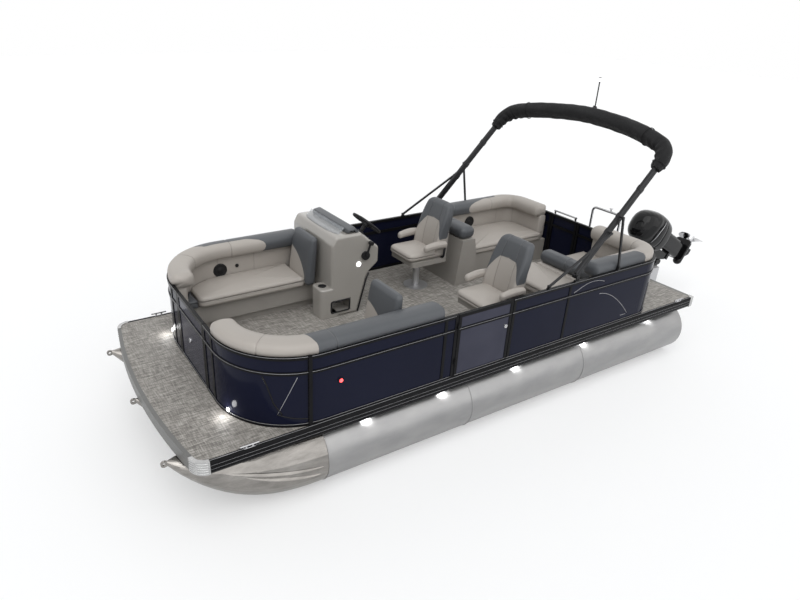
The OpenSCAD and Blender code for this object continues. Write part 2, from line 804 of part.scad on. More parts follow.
boot_in = 15;                                // how far the boot's ends stand in from the pivots
arm_lean = atan(boot_in / arm_len);
boot_q = arm_len * cos(arm_lean) + arm_tube / 2 * sin(arm_lean) + gap;
boot_end = 80;                               // straight stretch at each end of the boot
boot_y = arm_y - boot_in;
boot_w = 170;
boot_h = 190;
boot_corner = 230;
boot_crown_r = 3600;
boot_turn = 90 - asin((boot_y - boot_corner) / (boot_crown_r - boot_corner));

module bimini_mounts() {
    color([0.2, 0.2, 0.21]) pair() {
        // Main pivots, on the fence's top rail
        translate([mount_x - 40, fence_y - rail, fence_z]) cube([80, rail, 12]);
        translate([mount_x, fence_y - 12, pivot_z]) rotate([90, 0, 0]) cylinder(r = 22, h = 12);
        translate([mount_x - 22, fence_y - 24, fence_z + 12]) cube([44, 12, pivot_z - fence_z - 12]);
        translate([mount_x, fence_y - 24, pivot_z]) rotate([90, 0, 0]) cylinder(r = 8, h = 54);
        // Feet of the front struts and the rear braces
        for (x = [front_foot_x, rear_foot_x]) {
            translate([x - 20, fence_y - rail, fence_z]) cube([40, rail, 8]);
            for (y = [fence_y - 5, fence_y - rail]) translate([x - 12, y, fence_z + 8]) cube([24, 5, 30]);
        }
    }
}

module bimini_arms() {
    // Pins that reach out to the eyes of the struts and braces
    color(black) pair() arm_plane() for (q = [front_tip_q, rear_tip_q])
        translate([arm_y - q * tan(arm_lean), q, 0]) rotate([0, 90, 0])
            cylinder(r = 8, h = strut_y - strut_w / 2 - 0.5 - arm_y + q * tan(arm_lean));
    color(black) pair() difference() {
        arm_plane() translate([arm_y, 0, 0]) rotate([0, 0, arm_lean]) {
            rotate([0, 90, 0]) cylinder(r = 26, h = arm_tube, center = true);
            for (n = [-arm_tube - 2, 2])
                translate([-arm_tube / 2, 20, n]) cube([arm_tube, arm_len - 20, arm_tube]);
            // Clips that hold the two tubes together and carry the struts' pins
            for (q = [front_tip_q, rear_tip_q, arm_len - 260])
                translate([-arm_tube / 2 - 3, q - 25, -arm_tube - 6])
                    cube([arm_tube + 6, 50, 2 * arm_tube + 12]);
        }
        translate([mount_x, arm_y + 60, pivot_z]) rotate([90, 0, 0]) cylinder(r = 9, h = 120);
    }
}

module bimini_boot() {
    color(black) arm_plane() {
        // Straight ends, the corners and the crowned middle
        for (s = [-1, 1]) translate([s * boot_y, boot_q, 0]) rotate([-90, 0, 0])
            linear_extrude(boot_end) boot_section();
        for (s = [0, 1]) mirror([s, 0, 0]) translate([boot_y - boot_corner, boot_q + boot_end, 0])
            rotate_extrude(angle = boot_turn) translate([boot_corner, 0]) boot_section();
        translate([0, boot_q + boot_end - (boot_crown_r - boot_corner) * sin(boot_turn), 0])
            rotate([0, 0, boot_turn]) rotate_extrude(angle = 180 - 2 * boot_turn, $fn = 240)
                translate([boot_crown_r, 0]) boot_section();
    }
}

module boot_section() {
    translate([-boot_w / 2, -boot_h / 2]) rounded(boot_w, boot_h, 70);
}

// Top of the boot's crown, along the arms' plane
crown_q = boot_q + boot_end + boot_crown_r - (boot_crown_r - boot_corner) * sin(boot_turn);

module light_pole() {
    q = crown_q + boot_w / 2 + gap;
    color([0.15, 0.15, 0.15]) {
        arm_plane() translate([0, q, 0]) rotate([-90, 0, 0]) cylinder(r = 24, h = 40);
        translate([mount_x - cos(arm_angle) * (q + 34), 0, pivot_z + sin(arm_angle) * (q + 34)]) {
            cylinder(r = 7, h = 300);
            translate([0, 0, 290]) cylinder(r = 15, h = 40);
        }
    }
}

module strut(foot, tip, w) {
    l = norm(tip - foot);
    a = atan2(tip[1] - foot[1], tip[0] - foot[0]);
    translate([foot[0], 0, foot[1]]) rotate([0, -a, 0]) {
        translate([0, -w / 2, -11]) cube([l, w, 22]);
        rotate([90, 0, 0]) cylinder(r = 13, h = w, center = true);
        translate([l, 0, 0]) rotate([90, 0, 0]) cylinder(r = 15, h = w, center = true);
    }
}

front_tip = [mount_x - front_tip_q * cos(arm_angle), pivot_z + front_tip_q * sin(arm_angle)];
foot_z = fence_z + 25;
rear_tip = [mount_x - rear_tip_q * cos(arm_angle), pivot_z + rear_tip_q * sin(arm_angle)];

module front_struts() {
    color(black) pair() translate([0, strut_y, 0]) strut([front_foot_x, foot_z], front_tip, strut_w);
}

module rear_braces() {
    color(black) pair() translate([0, strut_y, 0]) strut([rear_foot_x, foot_z], rear_tip, strut_w);
}

// ---------------------------------------------------------------- stern fittings

module tow_bar() {
    bar_x = 250;
    bar_y = 220;
    bar_r = 16;
    bar_top = deck_top + 760;
    color([0.85, 0.85, 0.86]) {
        for (s = [-1, 1]) translate([bar_x, s * bar_y, 0]) {
            translate([0, 0, deck_top]) cylinder(r = 45, h = 8);
            translate([0, 0, deck_top + 4]) cylinder(r = bar_r, h = bar_top - deck_top - 4);
            translate([0, 0, bar_top]) sphere(bar_r + 3);
        }
        translate([bar_x, -bar_y, bar_top]) rotate([-90, 0, 0]) cylinder(r = bar_r, h = 2 * bar_y);
        translate([bar_x, 60, bar_top]) cylinder(r = 9, h = 44);
        translate([bar_x, 60, bar_top + 40]) cylinder(r = 22, h = 14);
    }
}

module navigation_lights() {
    color("white") {
        for (s = [-1, 1]) translate([5010, s * (fence_y - panel_inset), 1166]) rotate([-90 * s, 0, 0])
            cylinder(r = 22, h = 14);
    }
}

// ---------------------------------------------------------------- motor

module motor_pod() {
    color(alloy) side_solid(-250, 250) polygon([[-40, 330], [-40, 640], [-pod_len, 640], [-pod_len, 250],
        [-pod_len + 60, 200], [-200, 120], [-40, 120]]);
}

// Two plates grip the pod's transom and hold the tilt tube
module motor_clamp() {
    color([0.1, 0.1, 0.1]) {
        for (s = [-1, 1]) translate([0, s * 165, 0]) side_solid(-14, 14) union() {
            translate([tilt_x, tilt_z]) circle(40);
            translate([-pod_len - 50, 380]) square([50 - gap, 300]);
            translate([tilt_x, tilt_z - 40]) square([60, 80]);
            translate([-pod_len - 50, 640 + gap]) square([110, 34]);
        }
        translate([tilt_x, 0, tilt_z]) rotate([90, 0, 0]) cylinder(r = 19, h = 330, center = true);
    }
}

// The motor is drawn upright about the tilt tube's centre and then tilted up
module motor_pose() {
    translate([tilt_x, 0, tilt_z]) rotate([0, tilt_rest, 0]) children();
}

module swivel_bracket() {
    color([0.1, 0.1, 0.1]) motor_pose() difference() {
        union() {
            rotate([90, 0, 0]) cylinder(r = 34, h = 280, center = true);
            side_solid(-45, 45) polygon([[-10, 20], [swivel_x, 40], [swivel_x - 38, 20],
                [swivel_x - 38, -330], [swivel_x + 40, -330], [10, -20]]);
        }
        rotate([90, 0, 0]) cylinder(r = 19.5, h = 290, center = true);
        translate([swivel_x, 0, -340]) cylinder(r = 22, h = 400);
    }
}

module motor_leg() {
    color([0.12, 0.12, 0.13]) motor_pose() {
        // Steering post through the swivel bracket, with a yoke above and below it
        translate([swivel_x, 0, -380]) cylinder(r = 21.5, h = 470);
        translate([swivel_x - 120, -70, 46]) cube([160, 140, 44]);
        translate([swivel_x - 120, -60, -380]) cube([150, 120, 44]);
        // Midsection, ventilation plate, gearcase and skeg
        translate([swivel_x - 330, -75, -560]) slab([262, 150, 650], 60);
        translate([swivel_x - 400, -120, -640]) slab([330, 240, 12], 40);
        translate([swivel_x - 300, -45, -740]) slab([220, 90, 190], 40);
        translate([swivel_x - 380, 0, -770]) rotate([0, 90, 0]) cylinder(r = 62, h = 300);
        translate([swivel_x - 80, 0, -770]) sphere(62);
        side_solid(-7, 7) polygon([[swivel_x - 320, -820], [swivel_x - 130, -820],
            [swivel_x - 250, -960], [swivel_x - 330, -960]]);
        translate([swivel_x - 470, 0, -770]) rotate([0, 90, 0]) cylinder(r = 15, h = 100);
    }
}

module motor_cowl() {
    color(black) motor_pose() translate([swivel_x - 140, 0, 0]) hull() {
        translate([-270, -190, 90 + gap]) linear_extrude(40) rounded(470, 380, 120, $fn = 32);
        for (p = [[-190, 100, 330], [110, 90, 330], [-130, 70, 560], [60, 60, 600]], s = [-1, 1])
            translate([p[0], s * p[1], p[2]]) sphere(110, $fn = 32);
    }
}

module propeller() {
    color([0.75, 0.75, 0.76]) motor_pose() translate([swivel_x - 390, 0, -770]) rotate([0, -90, 0])
        difference() {
            union() {
                cylinder(r = 52, h = 110);
                for (a = [0, 120, 240]) rotate([0, 0, a]) translate([prop_d / 4 + 14, 0, 55])
                    rotate([32, 0, 0]) rotate([0, 0, 0]) intersection() {
                        cylinder(r = prop_d / 4 - 16, h = 9, center = true);
                        cube([prop_d, prop_d * 0.36, 20], center = true);
                    }
            }
            translate([0, 0, -1]) cylinder(r = 15.6, h = 82);
        }
}

port_tube();
centre_tube();
starboard_tube();
nose_cones();
tube_risers();
crossbeams();
deck_floor();
rub_rails();
deck_trim();
corner_castings();
cleats();
port_fence_frame();
port_bow_panels();
port_side_panels();
port_quarter_panels();
starboard_fence_frame();
starboard_bow_panels();
starboard_side_panels();
starboard_quarter_panels();
bow_gate_frame();
bow_gate_panel();
port_gate_frame();
port_gate_panel();
stern_gate_frame();
stern_gate_panel();
bow_lounge_bases();
bow_lounge_cushions();
bow_lounge_backs();
bow_bolsters();
aft_lounge_bases();
aft_lounge_cushions();
aft_lounge_backs();
aft_bolsters();
helm_console();
helm_dash();
throttle();
steering_wheel();
seat_pedestals();
helm_seat_frame();
helm_seat_cushions();
companion_seat_frame();
companion_seat_cushions();
bimini_mounts();
bimini_arms();
bimini_boot();
light_pole();
front_struts();
rear_braces();
tow_bar();
navigation_lights();
motor_pod();
motor_clamp();
swivel_bracket();
motor_leg();
motor_cowl();
propeller();
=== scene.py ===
"""The finish of a three-tube pontoon boat: metals, woven deck, sewn lounges, canvas boot and motor."""

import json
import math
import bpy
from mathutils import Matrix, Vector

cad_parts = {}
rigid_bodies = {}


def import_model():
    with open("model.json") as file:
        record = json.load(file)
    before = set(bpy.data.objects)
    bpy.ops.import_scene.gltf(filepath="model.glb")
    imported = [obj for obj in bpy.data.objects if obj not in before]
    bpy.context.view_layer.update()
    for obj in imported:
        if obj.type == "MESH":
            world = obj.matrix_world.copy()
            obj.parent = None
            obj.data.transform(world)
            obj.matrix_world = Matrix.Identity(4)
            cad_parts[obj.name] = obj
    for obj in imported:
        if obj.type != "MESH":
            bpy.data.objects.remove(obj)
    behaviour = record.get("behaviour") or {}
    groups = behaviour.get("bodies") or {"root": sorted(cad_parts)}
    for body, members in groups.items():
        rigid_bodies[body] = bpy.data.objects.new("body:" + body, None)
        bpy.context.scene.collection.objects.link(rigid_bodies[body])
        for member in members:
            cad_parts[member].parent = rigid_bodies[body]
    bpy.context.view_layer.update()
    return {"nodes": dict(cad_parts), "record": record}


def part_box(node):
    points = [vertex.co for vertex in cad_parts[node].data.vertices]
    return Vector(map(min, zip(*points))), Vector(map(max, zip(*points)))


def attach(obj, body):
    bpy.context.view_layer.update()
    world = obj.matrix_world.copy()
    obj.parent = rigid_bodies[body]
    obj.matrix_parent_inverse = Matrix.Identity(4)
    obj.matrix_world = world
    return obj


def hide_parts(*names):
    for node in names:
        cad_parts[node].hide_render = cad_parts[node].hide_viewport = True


bl_info = {
    "name": "Pontoon boat finish",
    "version": (1, 0, 0),
    "blender": (4, 5, 0),
    "location": "View3D > Sidebar > Boat",
    "description": "Dresses the pontoon boat's frame with its finishes, cushions and fittings",
    "category": "Object",
}

import bpy
import numpy as np
from mathutils import Matrix, Vector

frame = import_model()
SLOTS = [m["slot"] for m in frame["record"]["materials"]]


# ------------------------------------------------------------------ places taken from the frame

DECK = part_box("deck_floor")[1].z
HALF_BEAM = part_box("rub_rails")[1].y
FENCE_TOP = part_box("starboard_fence_frame")[1].z
PANEL_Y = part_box("port_side_panels")[1].y
FENCE_Y = PANEL_Y + 0.006
FENCE_X1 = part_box("port_fence_frame")[1].x
FENCE_X0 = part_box("port_fence_frame")[0].x
RAIL = 0.032
BOW_R = 0.700
STERN_R = 0.350
MID_RAIL = DECK + 0.500
TUBE_R = (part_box("port_tube")[1].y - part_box("port_tube")[0].y) / 2
TUBE_Y = (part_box("port_tube")[1].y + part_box("port_tube")[0].y) / 2
TUBE_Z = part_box("port_tube")[1].z - TUBE_R
SEAT_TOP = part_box("bow_lounge_cushions")[1].z
BASE_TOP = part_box("bow_lounge_bases")[1].z
CUSHION_FOOT = SEAT_TOP - 0.125
PAD_TOP = FENCE_TOP - 0.060
SPEAKER_Y = -(FENCE_Y - 0.1545)
CONSOLE_SIDE = -0.330
PORT_GATE_X = (3.110, 3.790)
DASH_LOW = Vector((3.610, 0, 1.540))
DASH_HIGH = Vector((3.845, 0, 1.735))
ARMS_FOOT = Vector((2.230, 0, 1.514))
ARMS_LEAN = math.radians(46.0)
MOTOR_FOOT = Vector((-0.920, 0, 0.680))
MOTOR_LEAN = math.radians(60)
COWL_MIDDLE = -0.290
FENCE_LINE_R = 0.0016


# ------------------------------------------------------------------ settings

class BoatFinish(bpy.types.PropertyGroup):
    """Colours and sizes of the finish"""

    beige: bpy.props.FloatVectorProperty(
        name="Seat vinyl", description="Main colour of the upholstery",
        subtype="COLOR", size=3, default=(0.375, 0.345, 0.314))
    slate: bpy.props.FloatVectorProperty(
        name="Contrast vinyl", description="Colour of the rolls and headrests",
        subtype="COLOR", size=3, default=(0.072, 0.077, 0.084))
    navy: bpy.props.FloatVectorProperty(
        name="Fence panels", description="Colour of the glossy panels",
        subtype="COLOR", size=3, default=(0.0045, 0.0055, 0.0150))
    gel: bpy.props.FloatVectorProperty(
        name="Console", description="Colour of the moulded console",
        subtype="COLOR", size=3, default=(0.325, 0.308, 0.283))
    weave_pitch: bpy.props.FloatProperty(
        name="Weave pitch", description="Width of one thread of the deck's woven vinyl",
        subtype="DISTANCE", default=0.006, min=0.002, max=0.02)
    crown: bpy.props.FloatProperty(
        name="Crown", description="How far the middle of a cushion stands above its edge",
        subtype="DISTANCE", default=0.016, min=0.0, max=0.05)
    seam_depth: bpy.props.FloatProperty(
        name="Seam depth", description="How deep a sewn seam is drawn in",
        subtype="DISTANCE", default=0.007, min=0.0, max=0.02)


def finish():
    return bpy.context.scene.boat_finish


# ------------------------------------------------------------------ shader maths

class Value:
    """One output socket; arithmetic on it adds Math nodes to its tree."""

    def __init__(self, maker, socket):
        self.maker = maker
        self.socket = socket

    def math(self, operation, first, second):
        return self.maker.node("Math", {"operation": operation}, {0: first, 1: second})

    def __add__(self, other):
        return self.math("ADD", self, other)

    def __sub__(self, other):
        return self.math("SUBTRACT", self, other)

    def __rsub__(self, other):
        return self.math("SUBTRACT", other, self)

    def __mul__(self, other):
        return self.math("MULTIPLY", self, other)

    def __abs__(self):
        return self.math("ABSOLUTE", self, 0.0)

    def __gt__(self, other):
        return self.math("GREATER_THAN", self, other)

    __radd__ = __add__
    __rmul__ = __mul__

    def sine(self):
        return self.math("SINE", self, 0.0)

    def fraction(self):
        return self.math("FRACT", self, 0.0)

    def clamped(self, scale=1.0):
        """Itself times scale, held between 0 and 1"""
        return self.maker.node("Math", {"operation": "MULTIPLY", "use_clamp": True}, {0: self, 1: scale})


class Maker:
    """Builds one material's nodes."""

    def __init__(self, name):
        self.material = bpy.data.materials.new(name)
        self.material.use_nodes = True
        self.tree = self.material.node_tree
        self.tree.nodes.clear()

    def node(self, kind, settings=None, inputs=None, out=0):
        made = self.tree.nodes.new("ShaderNode" + kind)
        for key, value in (settings or {}).items():
            if key == "stops":
                ramp = made.color_ramp
                while len(ramp.elements) < len(value):
                    ramp.elements.new(0.5)
                for element, (at, colour) in zip(ramp.elements, value):
                    element.position = at
                    element.color = (*colour, 1.0)
            else:
                setattr(made, key, value)
        for key, value in (inputs or {}).items():
            if isinstance(value, Value):
                self.tree.links.new(value.socket, made.inputs[key])
            elif isinstance(value, (tuple, list)) and made.inputs[key].type == "RGBA":
                made.inputs[key].default_value = (*value, 1.0)[:4]
            else:
                made.inputs[key].default_value = value
        return Value(self, made.outputs[out]) if made.outputs else None

    def place(self):
        return self.node("TexCoord", out="Object")

    def axes(self):
        """X, Y and Z of the surface point, in metres"""
        place = self.place()
        return [self.node("SeparateXYZ", {}, {0: place}, out=i) for i in range(3)]

    def noise(self, scale, detail=3.0, stretch=(1, 1, 1), rough=0.5):
        place = self.node("Mapping", {}, {0: self.place(), "Scale": stretch})
        return self.node("TexNoise", {}, {"Vector": place, "Scale": scale, "Detail": detail,
                                          "Roughness": rough})

    def mix(self, mask, low, high):
        return self.node("Mix", {"data_type": "RGBA"}, {0: mask, 6: low, 7: high}, out=2)

    def attribute(self, name):
        return self.node("Attribute", {"attribute_name": name}, {}, out="Fac")

    def bump(self, height, distance, strength):
        return self.node("Bump", {}, {"Height": height, "Distance": distance, "Strength": strength})

    def surface(self, **inputs):
        """The material's shader, from inputs named as its sockets with _ for a space"""
        named = {key.replace("_", " "): value for key, value in inputs.items()}
        shader = self.node("BsdfPrincipled", {}, named)
        self.node("OutputMaterial", {}, {0: shader})
        return self.material


RECIPES = {}
MADE = {}


def recipe(make):
    RECIPES[make.__name__] = make
    return make


def finish_of(name):
    """The material of that name, made once"""
    if name not in MADE:
        MADE[name] = RECIPES[name](Maker(name))
    return MADE[name]


@recipe
def tube_aluminium(m):
    """Rolled sheet: fine lines round the tube, with soft handling marks"""
    grain = m.noise(60, 2, (14, 1, 1))
    marks = m.noise(3.2, 4, (1, 2.5, 2.5))
    tint = m.mix(marks, (0.25, 0.25, 0.255), (0.40, 0.395, 0.39))
    rough = grain * 0.10 + marks * 0.16 + 0.20
    return m.surface(Base_Color=tint, Metallic=0.92, Roughness=rough,
                     Normal=m.bump(grain, 0.0006, 0.35))


@recipe
def nose_aluminium(m):
    """Polished aluminium with a warm cast and faint buffing swirls"""
    swirl = m.noise(4.5, 5, (1, 4, 4), 0.6)
    grain = m.noise(180, 1, (1, 6, 6))
    tint = m.mix(swirl, (0.12, 0.112, 0.104), (0.44, 0.42, 0.395))
    return m.surface(Base_Color=tint, Metallic=0.95, Roughness=swirl * 0.14 + grain * 0.06 + 0.13,
                     Normal=m.bump(swirl, 0.004, 0.25))


@recipe
def frame_aluminium(m):
    grain = m.noise(90, 3, (8, 1, 1))
    tint = m.mix(grain, (0.42, 0.42, 0.43), (0.56, 0.56, 0.57))
    return m.surface(Base_Color=tint, Metallic=0.85, Roughness=grain * 0.2 + 0.38,
                     Normal=m.bump(grain, 0.0006, 0.3))


@recipe
def woven_vinyl(m):
    """Threads one way and the other in greys and browns, with a raised weave"""
    x, y = m.axes()[:2]
    pitch = finish().weave_pitch
    warp = (x * (math.pi / pitch)).sine()
    weft = (y * (math.pi / pitch)).sine()
    over = (warp * weft).clamped(6.0)
    across = m.noise(0.8 / pitch, 1.5, (0.08, 1, 1))
    along = m.noise(0.8 / pitch, 1.5, (1, 0.08, 1))
    blend = across * 0.60 + along * 0.40
    patch = m.noise(2.2, 3)
    thread = m.node("ValToRGB", {"stops": [(0.34, (0.085, 0.078, 0.072)), (0.45, (0.185, 0.172, 0.157)),
                                          (0.54, (0.31, 0.292, 0.267)), (0.66, (0.50, 0.475, 0.44))]},
                    {"Fac": blend})
    shade = m.mix(patch * 0.30 + over * 0.20, thread, (0.26, 0.247, 0.225))
    height = abs(warp) * 0.5 + abs(weft) * 0.5 + blend * 0.6
    return m.surface(Base_Color=shade, Roughness=blend * 0.2 + 0.48, Specular_IOR_Level=0.4,
                     Normal=m.bump(height, 0.0011, 0.75))


@recipe
def black_rail(m):
    grain = m.noise(240, 2)
    tint = m.mix(m.noise(6, 3), (0.004, 0.004, 0.0045), (0.010, 0.010, 0.011))
    return m.surface(Base_Color=tint, Roughness=grain * 0.12 + 0.22, Specular_IOR_Level=0.07,
                     Normal=m.bump(grain, 0.0002, 0.3))


@recipe
def bow_trim(m):
    """Grey band with shallow ribs along it"""
    z = m.axes()[2]
    ribs = (z * 420.0).sine()
    wear = m.noise(14, 4, (1, 1, 4))
    tint = m.mix(wear, (0.115, 0.115, 0.112), (0.17, 0.168, 0.162))
    return m.surface(Base_Color=tint, Roughness=wear * 0.2 + 0.32, Metallic=0.25,
                     Normal=m.bump(ribs, 0.0012, 0.5))


@recipe
def cast_alloy(m):
    grit = m.noise(160, 4)
    pool = m.noise(18, 3)
    tint = m.mix(pool, (0.36, 0.36, 0.36), (0.56, 0.56, 0.555))
    return m.surface(Base_Color=tint, Metallic=0.95, Roughness=pool * 0.2 + 0.14,
                     Normal=m.bump(grit, 0.0008, 0.35))


@recipe
def stainless(m):
    haze = m.noise(40, 3)
    tint = m.mix(haze, (0.40, 0.40, 0.41), (0.56, 0.56, 0.57))
    return m.surface(Base_Color=tint, Metallic=1.0, Roughness=haze * 0.08 + 0.07)


@recipe
def navy_panel(m):
    """Deep gloss paint: a little orange peel and slow changes of tone"""
    navy = finish().navy
    peel = m.noise(70, 2)
    sweep = m.noise(1.3, 2, (1, 1, 0.5))
    light = [c * 1.5 + 0.002 for c in navy]
    tint = m.mix(sweep, tuple(navy), tuple(light))
    return m.surface(Base_Color=tint, Roughness=peel * 0.05 + 0.09, Specular_IOR_Level=0.08,
                     Normal=m.bump(peel, 0.0004, 0.12))


@recipe
def gate_panel(m):
    peel = m.noise(70, 2)
    sweep = m.noise(1.6, 3)
    tint = m.mix(sweep, (0.022, 0.023, 0.036), (0.055, 0.056, 0.080))
    return m.surface(Base_Color=tint, Roughness=peel * 0.05 + 0.12, Specular_IOR_Level=0.10,
                     Normal=m.bump(peel, 0.0004, 0.12))


def stitched_vinyl(m):
    """Two vinyls told apart by the piece's own tone, with painted shade darkening the seam grooves and a row
    of stitches
    """
    beige = tuple(finish().beige)
    slate = tuple(finish().slate)
    tone = m.attribute("tone")
    seam = m.attribute("seam")
    grain = m.noise(420, 4, rough=0.62)
    wrinkle = m.noise(9, 4)
    cloud = m.noise(2.4, 3)
    side = (tone * 900.0 + 0.5).clamped()
    warm = m.mix(cloud, tuple(c * 0.93 for c in beige), tuple(min(1, c * 1.06) for c in beige))
    cool = m.mix(cloud, tuple(c * 0.90 for c in slate), tuple(c * 1.14 for c in slate))
    base = m.mix(side, warm, cool)
    # The groove mask draws the seam groove in the bump and also paints shade into it.
    seam_groove_shade = (1.0 - seam * 260.0).clamped()
    beside = (1.0 - abs(seam - 0.0085) * 900.0).clamped()
    x, y, z = m.axes()
    dash = (((x + y + z) * 170.0).fraction() > 0.38)
    thread = beside * dash
    # Painted shade: the colour turns to a deep slate in the seam grooves, where shade falls.
    dark = m.mix(seam_groove_shade * 0.75, base, tuple(c * 0.22 for c in slate))
    sewn = m.mix(thread * 0.5, dark, tuple(c * 0.62 for c in beige))
    height = grain * 0.30 - seam_groove_shade * 1.2 + thread * 0.6 + wrinkle * 1.6
    return m.surface(Base_Color=sewn, Roughness=grain * 0.14 + 0.40, Specular_IOR_Level=0.42,
                     Normal=m.bump(height, 0.0016, 0.55))


@recipe
def upholstery_beige(m):
    return stitched_vinyl(m)


@recipe
def upholstery_slate(m):
    return stitched_vinyl(m)


@recipe
def gelcoat(m):
    """Glossy moulded gelcoat with a faint fleck"""
    gel = tuple(finish().gel)
    fleck = m.noise(600, 1)
    cloud = m.noise(2.0, 3)
    tint = m.mix(cloud, tuple(c * 0.92 for c in gel), tuple(c * 1.08 for c in gel))
    spot = m.mix((fleck - 0.62).clamped(6.0) * 0.4, tint, tuple(c * 0.6 for c in gel))
    return m.surface(Base_Color=spot, Roughness=cloud * 0.05 + 0.16, Coat_Weight=0.5, Coat_Roughness=0.06)


@recipe
def black_gloss(m):
    haze = m.noise(5, 3)
    tint = m.mix(haze, (0.0035, 0.0035, 0.004), (0.008, 0.008, 0.0085))
    return m.surface(Base_Color=tint, Roughness=haze * 0.04 + 0.07, Specular_IOR_Level=0.22)


@recipe
def black_plastic(m):
    grain = m.noise(500, 3)
    tint = m.mix(grain, (0.008, 0.008, 0.009), (0.017, 0.017, 0.018))
    return m.surface(Base_Color=tint, Roughness=grain * 0.15 + 0.38, Specular_IOR_Level=0.22,
                     Normal=m.bump(grain, 0.0003, 0.5))


@recipe
def visor_grey(m):
    """Moulded slate-grey plastic"""
    grain = m.noise(420, 3)
    tint = m.mix(grain, (0.070, 0.075, 0.082), (0.105, 0.110, 0.118))
    return m.surface(Base_Color=tint, Roughness=grain * 0.15 + 0.34, Specular_IOR_Level=0.35,
                     Normal=m.bump(grain, 0.0003, 0.5))


@recipe
def black_tube(m):
    """Anodised tube with fine lines along it"""
    line = m.noise(300, 2, (0.06, 1, 0.06))
    tint = m.mix(line, (0.016, 0.016, 0.0175), (0.034, 0.034, 0.036))
    return m.surface(Base_Color=tint, Metallic=0.5, Specular_IOR_Level=0.3, Roughness=line * 0.15 + 0.26)


@recipe
def boot_canvas(m):
    """Plain-woven acrylic canvas, with painted shade in the low parts of its folds"""
    x, y, z = m.axes()
    warp = (y * 1900.0).sine()
    weft = ((x + z) * 1900.0).sine()
    fold = m.noise(11, 5, (1, 1, 1), 0.6)
    # Painted shade: the fold noise that raises the bump also darkens the colour where it is low, in the
    # creases.
    tint = m.mix(fold, (0.0035, 0.0035, 0.004), (0.012, 0.012, 0.013))
    return m.surface(Base_Color=tint, Roughness=fold * 0.2 + 0.66, Specular_IOR_Level=0.25, Sheen_Weight=0.04,
                     Normal=m.bump(warp * weft * 0.25 + fold * 6.0, 0.0022, 0.7))


@recipe
def light_lens(m):
    rings = m.noise(60, 2)
    glow = m.mix(rings, (0.92, 0.95, 1.0), (1.0, 1.0, 1.0))
    return m.surface(Base_Color=(0.9, 0.92, 0.95), Roughness=rings * 0.1 + 0.15,
                     Emission_Color=glow, Emission_Strength=6.0)


@recipe
def red_lens(m):
    rings = m.noise(60, 2)
    glow = m.mix(rings, (1.0, 0.02, 0.03), (1.0, 0.10, 0.10))
    return m.surface(Base_Color=(0.5, 0.01, 0.01), Roughness=rings * 0.1 + 0.12,
                     Emission_Color=glow, Emission_Strength=4.0)


@recipe
def green_lens(m):
    rings = m.noise(60, 2)
    glow = m.mix(rings, (0.02, 0.8, 0.15), (0.1, 1.0, 0.25))
    return m.surface(Base_Color=(0.01, 0.3, 0.05), Roughness=rings * 0.1 + 0.12,
                     Emission_Color=glow, Emission_Strength=1.0)


@recipe
def silver_line(m):
    grain = m.noise(200, 2)
    tint = m.mix(grain, (0.26, 0.26, 0.27), (0.38, 0.38, 0.39))
    return m.surface(Base_Color=tint, Metallic=0.8, Roughness=grain * 0.15 + 0.22)


@recipe
def dial_face(m):
    """The dark, glossy face of the instrument plate"""
    haze = m.noise(12, 2)
    tint = m.mix(haze, (0.006, 0.007, 0.010), (0.02, 0.024, 0.035))
    return m.surface(Base_Color=tint, Roughness=haze * 0.05 + 0.06, Coat_Weight=1.0, Coat_Roughness=0.03)


@recipe
def smoked_acrylic(m):
    haze = m.noise(8, 2)
    tint = m.mix(haze, (0.32, 0.34, 0.36), (0.45, 0.47, 0.49))
    return m.surface(Base_Color=tint, Roughness=haze * 0.03 + 0.03, Alpha=0.35, IOR=1.49)


@recipe
def base_panel(m):
    """Moulded seat base with a fine leathery grain"""
    grain = m.noise(260, 4, rough=0.6)
    cloud = m.noise(3.0, 3)
    tint = m.mix(cloud, (0.255, 0.240, 0.220), (0.325, 0.305, 0.280))
    return m.surface(Base_Color=tint, Roughness=grain * 0.15 + 0.42, Normal=m.bump(grain, 0.0008, 0.5))


# ------------------------------------------------------------------ mesh helpers

def add_mesh(name, points, faces, body, slot, finish_name=None, attributes=None, sharp=None):
    """A new piece from points and faces in the row's frame, riding on a body"""
    mesh = bpy.data.meshes.new(name)
    mesh.from_pydata([tuple(p) for p in points], [], [tuple(int(i) for i in f) for f in faces])
    mesh.update()
    mesh.polygons.foreach_set("use_smooth", [True] * len(mesh.polygons))
    if sharp is not None:
        mesh.set_sharp_from_angle(angle=math.radians(sharp))
    for key, values in (attributes or {}).items():
        made = mesh.attributes.new(key, "FLOAT", "POINT")
        made.data.foreach_set("value", np.asarray(values, np.float32))
    piece = bpy.data.objects.new(name, mesh)
    bpy.context.scene.collection.objects.link(piece)
    mesh.materials.append(finish_of(finish_name or slot))
    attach(piece, body)
    slot in SLOTS
    return piece


def join_parts(parts):
    """Points and faces of several (points, faces) as one"""
    points, faces, count = [], [], 0
    for more, shape in parts:
        points.extend(more)
        faces.extend([[i + count for i in face] for face in shape])
        count += len(more)
    return points, faces


def add_parts(name, parts, body, slot, finish_name=None, sharp=None):
    """A new piece made of several (points, faces)"""
    return add_mesh(name, *join_parts(parts), body, slot, finish_name, sharp=sharp)


def squared(value, power):
    """A sine or cosine raised to that power with its sign kept, which squares up a circle"""
    return math.copysign(abs(value) ** power, value)


def grid_faces(rows, columns, closed_rows=False, closed_columns=False):
    faces = []
    for i in range(rows if closed_rows else rows - 1):
        for j in range(columns if closed_columns else columns - 1):
            a = (i + 1) % rows
            b = (j + 1) % columns
            faces.append([i * columns + j, a * columns + j, a * columns + b, i * columns + b])
    return faces


